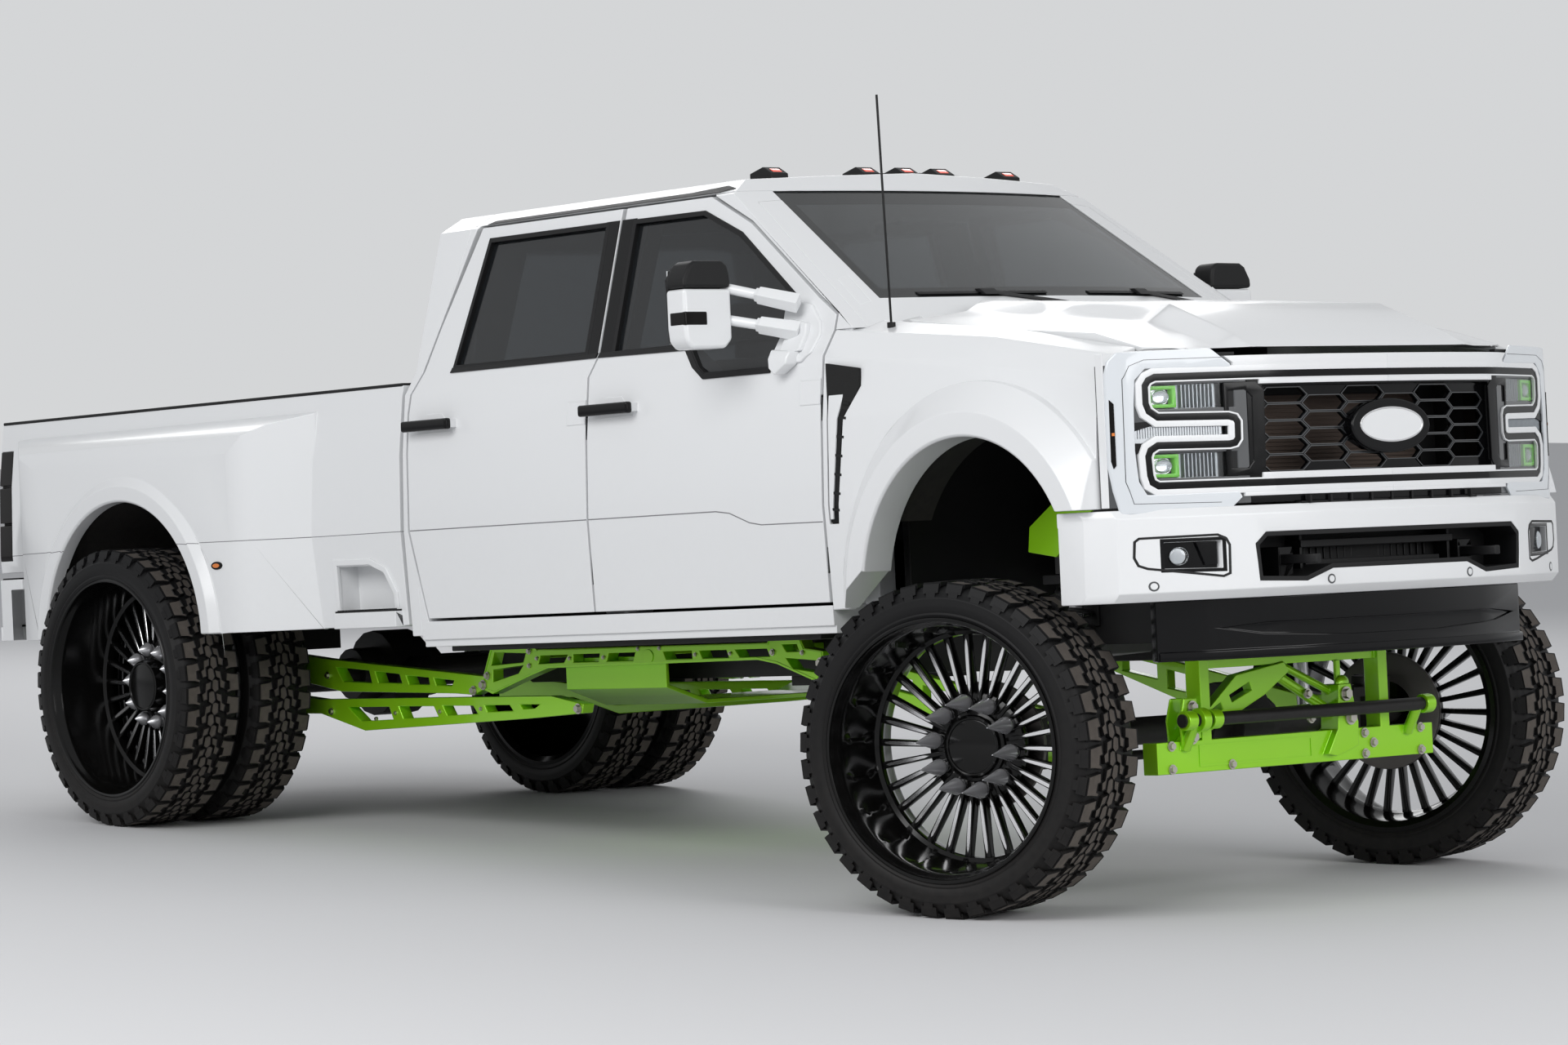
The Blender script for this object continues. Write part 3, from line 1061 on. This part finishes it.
def barrel(bm, wheel):
    """The rim's lip, its dish with the pockets, and the barrel behind the disc."""
    lip, disc, back = wheel["lip"], wheel["disc"], wheel["back"]
    profile = [(0.400, lip - 0.020), (0.408, lip - 0.010), (0.408, lip - 0.003), (0.404, lip),
               (0.397, lip - 0.001), (0.393, lip - 0.008), (0.391, lip - 0.022), (0.384, lip - 0.030),
               (0.381, lip - 0.050)]
    deep = disc + 0.010
    low, high = deep + 0.012, lip - 0.060
    profile += [(0.380 - 0.020 * k / POCKET_ROWS, high + (low - high) * k / POCKET_ROWS)
                for k in range(POCKET_ROWS + 1)]
    profile += [(0.348, deep + 0.004), (0.345, disc - 0.004), (0.352, disc - 0.020), (0.362, disc - 0.045)]
    if back < disc - 0.06:
        profile += [(0.366, back + 0.030), (0.372, back + 0.012)]
    profile += [(0.392, back), (0.408, back + 0.002), (0.408, back + 0.010), (0.399, back + 0.020),
                (0.397, 0.0)]
    turned(bm, profile, steps=POCKETS * POCKET_STEPS)
    for v in bm.verts:
        r = (v.co.x ** 2 + v.co.z ** 2) ** 0.5
        if not (low < v.co.y < high and r < 0.381):
            continue
        along = (v.co.y - low) / (high - low)
        dent = wheel["pocket"] * sin(pi * along) * crescent(angle_about_y(v.co), along)
        v.co.x *= 1 + dent / r
        v.co.z *= 1 + dent / r


def spokes(bm, wheel):
    """Thin radial spokes between the hub and the rim, broader towards the rim."""
    disc = wheel["disc"]
    outline = [(0.110, disc + 0.012), (0.150, disc + 0.016), (0.335, disc + 0.004), (0.350, disc + 0.006),
               (0.350, disc - 0.024), (0.335, disc - 0.022), (0.165, disc - 0.030), (0.110, disc - 0.030)]
    verts = plate(bm, outline, "z", -0.0075, 0.0075)
    for v in verts:
        if v.co.x > 0.30:
            v.co.z *= 1.45
    round_edges(bm, 0.003)
    repeat(bm, bm.verts[:], SPOKES)


def spoke_faces(bm, wheel):
    """The bright milled face let into each spoke."""
    disc = wheel["disc"]
    half = [(0.168, 0.0), (0.185, 0.0050), (0.235, 0.0066), (0.300, 0.0066), (0.325, 0.0048), (0.338, 0.0)]
    outline = half + [(x, -z) for x, z in reversed(half[1:-1])]
    for v in plate(bm, outline, "y", disc + 0.0155, disc + 0.018):
        v.co.y += (0.150 - v.co.x) * 0.065
    round_edges(bm, 0.0012, segments=1)
    repeat(bm, bm.verts[:], SPOKES)


def hub(bm, wheel):
    """The hub's flange, its raised ring and the round cap."""
    disc, cap = wheel["disc"], wheel["cap"]
    turned(bm, [(0.0, disc - 0.030), (0.168, disc - 0.030), (0.172, disc - 0.012), (0.168, disc + 0.004),
                (0.158, disc + 0.010), (0.112, disc + 0.012), (0.108, disc + 0.020), (0.100, disc + 0.022),
                (0.098, cap - 0.014), (0.094, cap - 0.003), (0.089, cap), (0.085, cap - 0.001),
                (0.083, cap - 0.004), (0.080, cap - 0.003), (0.0, cap - 0.002)], steps=90, closed=False)


def lug_nuts(bm, wheel):
    """Pointed lug nuts round the hub."""
    disc, tip = wheel["disc"], wheel["disc"] + wheel["spike"]
    turned(bm, [(0.0, disc + 0.004), (0.0210, disc + 0.004), (0.0210, disc + 0.022), (0.0250, disc + 0.027),
                (0.0270, disc + 0.034), (0.0255, disc + 0.042), (0.0015, tip - 0.001), (0.0, tip)],
           steps=28, closed=False)
    bmesh.ops.transform(bm, matrix=Matrix.Translation((NUT_CIRCLE_R, 0, 0)), verts=bm.verts)
    bmesh.ops.rotate(bm, verts=bm.verts, cent=(0, 0, 0), matrix=Matrix.Rotation(NUT_START, 3, "Y"))
    repeat(bm, bm.verts[:], LUG_NUTS)


def brake(bm, wheel):
    """A brake disc on its bell."""
    back = wheel["disc"] - 0.032
    turned(bm, [(0.100, back), (0.112, back - 0.004), (0.112, back - 0.040), (0.196, back - 0.042),
                (0.198, back - 0.050), (0.196, back - 0.058), (0.188, back - 0.060), (0.100, back - 0.060)])


# Tyres
TREAD_PITCHES = 38
TREAD_FLOOR = 0.5035
TREAD_TOP = TYRE_R - 0.0005
PITCH = 2 * pi * TYRE_R / TREAD_PITCHES
DRAWN_HALF = 0.1725
BLOCK_CHAMFER = 0.0022
BLOCK_FOOT = 1.08
# Tread blocks, as (share of a pitch, distance from the middle) on a tyre of DRAWN_HALF
HOOK = [(0.02, 0.012), (0.34, 0.018), (0.42, 0.036), (0.80, 0.036), (0.86, 0.058), (0.56, 0.066),
        (0.46, 0.048), (0.10, 0.044)]
SLAB = [(0.46, -0.004), (0.82, -0.010), (1.02, 0.006), (0.90, 0.028), (0.50, 0.028), (0.42, 0.012)]
SHOULDER = [(0.05, 0.078), (0.40, 0.072), (0.44, 0.090), (0.74, 0.090), (0.80, 0.074), (0.92, 0.078),
            (0.86, 0.118), (0.84, 0.150), (0.14, 0.150), (0.10, 0.118)]
# Sidewall lugs: shares of a pitch, radii, depths in from the tyre's side, and the slope of the outer edge
SIDE_LUGS = (((0.16, 0.82), (0.484, 0.5125), (0.030, 0.0075), 0.009),
             ((0.30, 0.70), (0.462, 0.490), (0.024, 0.0025), 0.0062))


def carcass(bm, wheel):
    """The tyre's body: beads, sidewalls with raised rings, and the tread's floor."""
    w = wheel["half"]
    half = [(0.3985, 0.0), (0.3985, w - 0.024), (0.402, w - 0.010), (0.410, w - 0.006), (0.418, w - 0.002),
            (0.424, w - 0.004), (0.432, w), (0.450, w), (0.466, w - 0.002), (0.4675, w - 0.002),
            (0.471, w - 0.004), (0.474, w - 0.009), (0.488, w - 0.017), (0.498, w - 0.026),
            (0.503, w - 0.036), (0.504, w - 0.052)]
    profile = half + [(r, -y) for r, y in reversed(half[1:])]
    turned(bm, profile, steps=96)


def lug(bm, outline):
    """One tread block, drawn flat: x runs round the tyre, y across it and z up from the axle."""
    verts = set(plate(bm, outline, "z", TREAD_FLOOR, TREAD_TOP))
    top = max((f for v in verts for f in v.link_faces), key=lambda f: f.calc_center_median().z)
    bmesh.ops.inset_region(bm, faces=[top], thickness=BLOCK_CHAMFER, depth=0.0, use_even_offset=True)
    middle = top.calc_center_median()
    for v in verts:
        if v.co.z > TREAD_TOP - 1e-6:
            v.co.z -= BLOCK_CHAMFER
        else:
            v.co.x = middle.x + (v.co.x - middle.x) * BLOCK_FOOT
    top.material_index = 1


def side_lugs(bm, wheel, shift, side):
    """The lugs under a shoulder block, which slope back to the sidewall."""
    w = wheel["half"]
    for (s0, s1), (low, high), (inner, outer), slope in SIDE_LUGS:
        span = sorted((side * (w - inner), side * (w - outer)))
        for v in block(bm, ((s0 + shift) * PITCH, (s1 + shift) * PITCH), span, (low, high)):
            if v.co.z > high - 1e-6 and side * v.co.y > w - outer - 1e-6:
                v.co.y -= side * slope


def wrap(bm):
    """Roll the flat tread round the axle."""
    for v in bm.verts:
        turn = v.co.x / TYRE_R
        v.co = Vector((v.co.z * sin(turn), v.co.y, v.co.z * cos(turn)))


def tread(bm, wheel):
    """The tread's blocks: hooked centre blocks and heavy shoulder lugs that run down the sidewall."""
    w = wheel["half"]
    share = w / DRAWN_HALF
    for outline, shift, side in ((HOOK, 0.0, 1), (HOOK, 0.5, -1), (SLAB, 0.0, 1), (SLAB, 0.5, -1)):
        lug(bm, [((s + shift) * PITCH, side * y * share) for s, y in outline])
    for shift, side in ((0.12, 1), (0.62, -1)):
        scaled = [(s, y * share if y < 0.1 else w - (DRAWN_HALF - y)) for s, y in SHOULDER]
        lug(bm, [((s + shift) * PITCH, side * y) for s, y in scaled])
        side_lugs(bm, wheel, shift, side)
    wrap(bm)
    repeat(bm, bm.verts[:], TREAD_PITCHES)


# Setting up the wheels
def wheel_piece(name, make, wheel, body, finish, place, slot="tyre", **options):
    """One piece of a wheel, made about its own centre and put in its place."""
    bm = bmesh.new()
    make(bm, wheel)
    piece(bm, name, body, finish, slot, place=place, **options)


def inner_rim(bm, wheel):
    """The plain dished rim of the inner rear wheel."""
    turned(bm, [(0.105, 0.159), (0.168, 0.159), (0.200, 0.140), (0.330, 0.128), (0.360, 0.110), (0.366, 0.0),
                (0.372, -0.110), (0.392, -0.128), (0.408, -0.126), (0.408, -0.116), (0.399, -0.108),
                (0.397, 0.0), (0.399, 0.108), (0.408, 0.116), (0.408, 0.126), (0.392, 0.128), (0.380, 0.120),
                (0.340, 0.100), (0.105, 0.112)], steps=96)


def set_up_wheel(wheel, place, label, body, rim_node, tyre_node):
    """All the pieces of one wheel at its place."""
    for make, part, material, smooth in (
            (barrel, "rim", WHEEL_BLACK, 35), (spokes, "spokes", WHEEL_BLACK, 35),
            (spoke_faces, "spoke_faces", MILLED, 35), (hub, "hub", WHEEL_BLACK, 30),
            (lug_nuts, "lug_nuts", DARK_CHROME, 30), (brake, "brake_disc", BRAKE_IRON, 30)):
        wheel_piece(f"{label}_{part}", make, wheel, body, material, place, slot="wheel_black",
                    replaces=(rim_node,) if part == "rim" else (), smooth=smooth)
    wheel_piece(f"{label}_tyre", carcass, wheel, body, RUBBER, place, replaces=(tyre_node,), smooth=40)
    wheel_piece(f"{label}_tread", tread, wheel, body, [RUBBER, TREAD], place, smooth=30)


FRONT_TRACK = 1.103
REAR_TRACK = 1.168
DUAL_SPACING = 0.318
for name, flip in SIDES:
    side = 1 if name == "left" else -1
    front = (Matrix.Translation((FRONT_X, side * KINGPIN_Y, TYRE_R)) @ Matrix.Rotation(STEER, 4, "Z") @ flip
             @ Matrix.Translation((0, FRONT_TRACK - KINGPIN_Y, 0)))
    set_up_wheel(FRONT_WHEEL, front, f"front_{name}", f"wheel_front_{name}", f"front_rim_{name}",
                 f"front_tyre_{name}")
    outer = Matrix.Translation((REAR_X, side * REAR_TRACK, TYRE_R)) @ flip
    set_up_wheel(REAR_WHEEL, outer, f"rear_{name}", f"wheels_rear_{name}", f"rear_rims_{name}",
                 f"rear_tyres_{name}")
    inner = Matrix.Translation((REAR_X, side * (REAR_TRACK - DUAL_SPACING), TYRE_R)) @ flip
    for make, part, material, slot in (
            (carcass, "tyre", RUBBER, "tyre"), (tread, "tread", [RUBBER, TREAD], "tyre"),
            (inner_rim, "rim", WHEEL_BLACK, "wheel_black")):
        wheel_piece(f"inner_{name}_{part}", make, REAR_WHEEL, f"wheels_rear_{name}", material, inner,
                    slot=slot, smooth=35)

# Bolts of the front beam and of the link trusses, with the radius of each head
FORWARD = (1, 0, 0)
OUTWARD = (0, 1, 0)
BEAM_FACE_X = 0.487
TRUSS_OUT = 0.6265
BEAM_BOLTS = (
    (560, 482), (560, 410), (300, 478), (300, 412), (340, 445), (-560, 482), (-560, 410), (-300, 412))
BRACKET_BOLTS = (
    ((0.512, 0.215, 0.531), 0.016), ((0.512, 0.199, 0.608), 0.016), ((0.488, 0.060, 0.537), 0.011),
    ((0.488, 0.050, 0.616), 0.011), ((0.500, -0.475, 0.600), 0.014), ((0.500, -0.480, 0.507), 0.016))
TRUSS_BOLTS = (
    (-2430, 634, 0.013), (-2985, 726, 0.013), (-2958, 758, 0.010), (-2658, 815, 0.005), (-2468, 812, 0.005),
    (-2272, 812, 0.005), (-2075, 838, 0.005), (-1955, 838, 0.005), (-1760, 812, 0.005), (-1570, 812, 0.005),
    (-1345, 812, 0.008), (-2702, 842, 0.008), (-2705, 790, 0.006), (-1097, 772, 0.013), (-1190, 808, 0.006),
    (-4432, 870, 0.012), (-4432, 660, 0.012), (-3960, 775, 0.009), (-3945, 640, 0.009), (-3660, 610, 0.005),
    (-3535, 630, 0.005), (-3257, 632, 0.005), (-3005, 640, 0.005), (-3045, 706, 0.012))
made("front_beam_bolts", STEEL, "chassis_black",
     [(bolt, (BEAM_FACE_X, y / 1000, z / 1000), FORWARD) for y, z in BEAM_BOLTS]
     + [(bolt, at, FORWARD, r) for at, r in BRACKET_BOLTS], smooth=30)
made("truss_bolts", STEEL, "chassis_black",
     [(bolt, (x / 1000, TRUSS_OUT, z / 1000), OUTWARD, r) for x, z, r in TRUSS_BOLTS], both=True, smooth=30)


# Green parts of the link trusses and of the front beam
def green_part(name, shapes, **options):
    """A piece of the coated suspension."""
    made(name, GREEN, "suspension_green", shapes, **options)


TRUSS_EDGE = mm([
    (-2925, 852), (-2670, 849), (-2655, 838), (-1370, 836), (-1357, 856), (-1210, 856), (-1188, 816),
    (-1095, 803), (-1095, 750), (-1127, 719), (-1328, 782), (-1431, 798), (-2602, 789), (-2722, 760),
    (-2925, 704), (-2972, 714), (-2975, 760)])
SWAY_BAR_X, SWAY_BAR_Z = 0.540, 0.560
SWAY_BAR_HALF = 0.562
# Where each collar sits along the sway bar, half its width, and its radius
SWAY_COLLARS = ((-0.535, 0.020, 0.031), (-0.425, 0.020, 0.031), (0.535, 0.020, 0.031), (-0.480, 0.016, 0.038))
HANGER_Y = 0.205
CLEVIS = mm([(-520, 480), (-452, 480), (-446, 560), (-450, 628), (-505, 628), (-526, 560)])


def along_sway_bar(start, end, radius):
    """A round piece about the sway bar's line, from start to end across the truck."""
    return (rod, (SWAY_BAR_X, start, SWAY_BAR_Z), (SWAY_BAR_X, end, SWAY_BAR_Z), radius)


green_part("truss_disc", [(plate, mm(oval((-2021, 811), (29, 24))), "y", 0.622, 0.6285)], both=True,
           edge=0.0015)
green_part("truss_border", [(hoop, TRUSS_EDGE, 0.001, 0.0045, "y", 0.622, 0.6275)], both=True)
green_part("beam_panel_border",
           [(band, mm(rectangle(-440, 60, 412, 480)), mm(rectangle(-434, 54, 418, 474)), "x", 0.484, 0.4875)])
green_part("beam_sway_collars", [along_sway_bar(y - half, y + half, r) for y, half, r in SWAY_COLLARS],
           edge=0.003)
made("beam_sway_bar", BLACK_SATIN, "chassis_black", [along_sway_bar(-SWAY_BAR_HALF, SWAY_BAR_HALF, 0.0212)])
green_part("beam_hanger_link", [(rod, (0.470, HANGER_Y, 0.640), (0.470, HANGER_Y, 0.715), 0.011),
                                (ball, (0.490, HANGER_Y, 0.642), (0.014, 0.03, 0.026))])
green_part("beam_left_clevis", [(plate, CLEVIS, "x", 0.486, 0.497), (plate, CLEVIS, "x", 0.428, 0.438)],
           edge=0.005)

# Springs: the axle's place (x, z), its tube's radius, the coil's foot and top, its lean and its turns
FRONT_AXLE = (0.0289, 0.5172)
REAR_AXLE = (-4.432, 0.7666)
SPRING_Y = 0.500
SPRINGS = ((FRONT_AXLE, 0.046, 0.720, 1.004, -0.020, 6), (REAR_AXLE, 0.064, 0.880, 1.080, 0.0, 4))
TOWER_HALF = 0.060
TOWER_Y = (0.432, 0.565)
TOWER_PLATE = 0.010
coils = []
shocks = []
for (x, z), tube, low, high, lean, turns in SPRINGS:
    coils.append((coil, (x + lean * 0.8, SPRING_Y, low), (x + lean, SPRING_Y, high), 0.052, 0.0085, turns))
    shocks += [(rod, (x, SPRING_Y, z + tube), (x + lean * 0.7, SPRING_Y, low + 0.06), 0.024),
               (rod, (x + lean * 0.6, SPRING_Y, low - 0.012), (x + lean * 0.6, SPRING_Y, low + 0.002), 0.060),
               (rod, (x + lean * 0.7, SPRING_Y, low), (x + lean, SPRING_Y, high), 0.030)]
towers = [(block, (-TOWER_HALF, TOWER_HALF), TOWER_Y, (1.000, 1.030)),
          (block, (-TOWER_HALF, TOWER_HALF), (TOWER_Y[0], TOWER_Y[0] + TOWER_PLATE), (0.860, 1.030)),
          (block, (REAR_AXLE[0] - TOWER_HALF, REAR_AXLE[0] + TOWER_HALF), TOWER_Y, (1.078, 1.110))]
made("spring_coils", BLACK_SATIN, "chassis_black", coils, both=True, replaces=("springs",))
made("spring_shocks", DARK_CHROME, "chassis_black", shocks, both=True, edge=0.002)
made("spring_towers", BLACK_SATIN, "chassis_black", towers, both=True, edge=0.004)
BRACKET_PLATE = mm([(-70, 1105), (60, 1085), (250, 1240), (255, 1330), (190, 1345), (-60, 1185)])
BRACKET_SHELF = mm([(-50, 1120), (56, 1104), (70, 1116), (-40, 1134)])
green_part("arch_bracket", [(plate, BRACKET_PLATE, "y", 0.600, 0.612),
                            (plate, BRACKET_SHELF, "y", 0.432, 0.605)], both=True, edge=0.003)

# Seats: crowned cushions with sewn channels, replacing the plain solids
CROWN = 0.030
SEAM_DEPTH = 0.010
FRONT_SEAT_Y = 0.390
BENCH_Y = (-0.465, 0, 0.465)


def cushion(bm, size, place, channels):
    """A pad about its own middle, thin along Z, with seams across Y."""
    verts = bmesh.ops.create_cube(bm, size=2)["verts"]
    edges = list({e for v in verts for e in v.link_edges})
    bmesh.ops.subdivide_edges(bm, edges=edges, cuts=11, use_grid_fill=True)
    whole = [v for v in bm.verts if not v.tag]
    for v in whole:
        u, w, t = v.co
        swell = (1 - u ** 4) * (1 - w ** 4)
        pull = 1 - 0.05 * (1 - abs(t))
        seam = 0.0
        if channels and abs(w) < 0.75:
            seam = max(0.0, 1 - abs(((u + 1) * channels / 2) % 1.0 - 0.5) * 7) * SEAM_DEPTH
        v.co = Vector((u * size[0] / 2 * pull, w * size[1] / 2 * pull,
                       t * (size[2] / 2 - CROWN + CROWN * swell) - (seam * swell if t > 0.9 else 0.0)))
        v.tag = True
    bmesh.ops.transform(bm, matrix=place, verts=whole)


def seat_piece(name, pads, replaces=()):
    """A seat's pads as one soft piece. Each pad is its size, its place and its number of channels."""
    bm = bmesh.new()
    for size, place, channels in pads:
        cushion(bm, size, place, channels)
    obj = piece(bm, name, CHASSIS, LEATHER, "seat", replaces=replaces, smooth=60)
    rounding = obj.modifiers.new("soft rounding", "SUBSURF")
    rounding.levels = 1
    rounding.render_levels = 1


def seat_place(x, y, z, lean):
    """The place of a pad that leans by so many degrees."""
    return Matrix.Translation((x, y, z)) @ Matrix.Rotation(radians(lean), 4, "Y")


for name, y, replaced in (("left", FRONT_SEAT_Y, ("seats",)), ("right", -FRONT_SEAT_Y, ())):
    seat_piece(f"front_seat_{name}", [((0.500, 0.480, 0.150), seat_place(-1.245, y, 1.195, -3), 5),
                                      ((0.600, 0.460, 0.120), seat_place(-1.575, y, 1.540, 80), 5),
                                      ((0.150, 0.240, 0.090), seat_place(-1.610, y, 1.920, 82), 0)],
               replaces=replaced)
seat_piece("rear_bench", [((0.480, 0.460, 0.150), seat_place(-2.240, y, 1.185, -3), 4) for y in BENCH_Y]
           + [((0.580, 0.455, 0.110), seat_place(-2.565, y, 1.545, 82), 4) for y in BENCH_Y])
made("seat_bases", BLACK_MOULDED, "seat", [(block, (-1.500, -1.060), (0.250, 0.580), (0.960, 1.125))],
     both=True, edge=0.010)
made("bench_base", BLACK_MOULDED, "seat", [(block, (-2.560, -2.080), (-0.640, 0.640), (0.960, 1.125))],
     edge=0.010)

# Stage and light. A light is its place, what it points at, its size in metres and its power in watts.
FLOOR_SIZE = 60
FLOOR_COLOUR = (0.70, 0.70, 0.71, 1)
FLOOR_ROUGHNESS = 0.75
SKY_COLOUR = (0.80, 0.82, 0.85, 1)
SKY_STRENGTH = 0.44
BACKDROP_COLOUR = (0.66, 0.67, 0.68, 1)
LIGHTS = {
    "key light": ((5.0, -13.0, 8.5), (0.5, 0, 1.0), (11, 7), 1230),
    "front fill": ((13.0, 1.0, 5.0), (2.5, 0, 1.0), (8, 5), 480),
    "rear light": ((-10.0, 7.0, 7.0), (-1.0, 0, 1.2), (9, 6), 380),
}


def stage():
    """The pale floor that the truck stands on."""
    bm = bmesh.new()
    bmesh.ops.create_grid(bm, x_segments=1, y_segments=1, size=FLOOR_SIZE)
    mesh = bpy.data.meshes.new("floor")
    bm.to_mesh(mesh)
    bm.free()
    floor = bpy.data.objects.new("floor", mesh)
    bpy.context.scene.collection.objects.link(floor)
    pale = bpy.data.materials.new("pale_floor")
    pale.use_nodes = True
    shader = pale.node_tree.nodes["Principled BSDF"]
    shader.inputs["Base Color"].default_value = FLOOR_COLOUR
    shader.inputs["Roughness"].default_value = FLOOR_ROUGHNESS
    mesh.materials.append(pale)


def soft_light(name, place, target, size, power):
    """A rectangle of light that points at a target."""
    lamp = bpy.data.lights.new(name, "AREA")
    lamp.shape = "RECTANGLE"
    lamp.size, lamp.size_y = size
    lamp.energy = power
    obj = bpy.data.objects.new(name, lamp)
    bpy.context.scene.collection.objects.link(obj)
    obj.location = place
    obj.rotation_euler = (Vector(target) - Vector(place)).to_track_quat("-Z", "Y").to_euler()


def light():
    """An even sky that lights the truck, and a grey backdrop that the camera and reflections see."""
    world = bpy.data.worlds.new("studio")
    bpy.context.scene.world = world
    world.use_nodes = True
    tree = world.node_tree
    background = tree.nodes["Background"]
    background.inputs["Color"].default_value = SKY_COLOUR
    background.inputs["Strength"].default_value = SKY_STRENGTH
    seen = tree.nodes.new("ShaderNodeBackground")
    seen.inputs["Color"].default_value = BACKDROP_COLOUR
    seen.inputs["Strength"].default_value = 1.0
    path = tree.nodes.new("ShaderNodeLightPath")
    mix = tree.nodes.new("ShaderNodeMixShader")
    shown = math_node(tree, "ADD", path.outputs["Is Camera Ray"], path.outputs["Is Glossy Ray"])
    shown = math_node(tree, "ADD", shown, path.outputs["Is Transmission Ray"], clamp=True)
    link(tree, shown, mix.inputs[0])
    link(tree, background.outputs[0], mix.inputs[1])
    link(tree, seen.outputs[0], mix.inputs[2])
    link(tree, mix.outputs[0], tree.nodes["World Output"].inputs[0])
    for name, settings in LIGHTS.items():
        soft_light(name, *settings)


# Camera, placed in metres from the ground under the front axle
CAMERA_PLACE = (12.005, -11.770, 1.729)
CAMERA_AZIMUTH = radians(50.097)
CAMERA_PITCH = radians(-1.83)
CAMERA_ROLL = radians(-0.619)
LENS_MM = 119.1
SENSOR_MM = 36
FAR_END = 200


def camera():
    """The camera that sees the truck as it was photographed."""
    data = bpy.data.cameras.new("camera")
    data.lens = LENS_MM
    data.sensor_width = SENSOR_MM
    data.sensor_fit = "HORIZONTAL"
    data.clip_end = FAR_END
    obj = bpy.data.objects.new("camera", data)
    bpy.context.scene.collection.objects.link(obj)
    a, p, r = CAMERA_AZIMUTH, CAMERA_PITCH, CAMERA_ROLL
    ahead = Vector((-sin(a) * cos(p), cos(a) * cos(p), sin(p)))
    right = Vector((cos(a), sin(a), 0))
    up = right.cross(ahead)
    right_rolled = cos(r) * right + sin(r) * up
    up_rolled = -sin(r) * right + cos(r) * up
    turn = Matrix((right_rolled, up_rolled, -ahead)).transposed().to_4x4()
    obj.matrix_world = Matrix.Translation((CAMERA_PLACE[0] + FRONT_X, *CAMERA_PLACE[1:])) @ turn
    bpy.context.scene.camera = obj


stage()
light()
camera()
bpy.context.scene.view_settings.view_transform = "Standard"
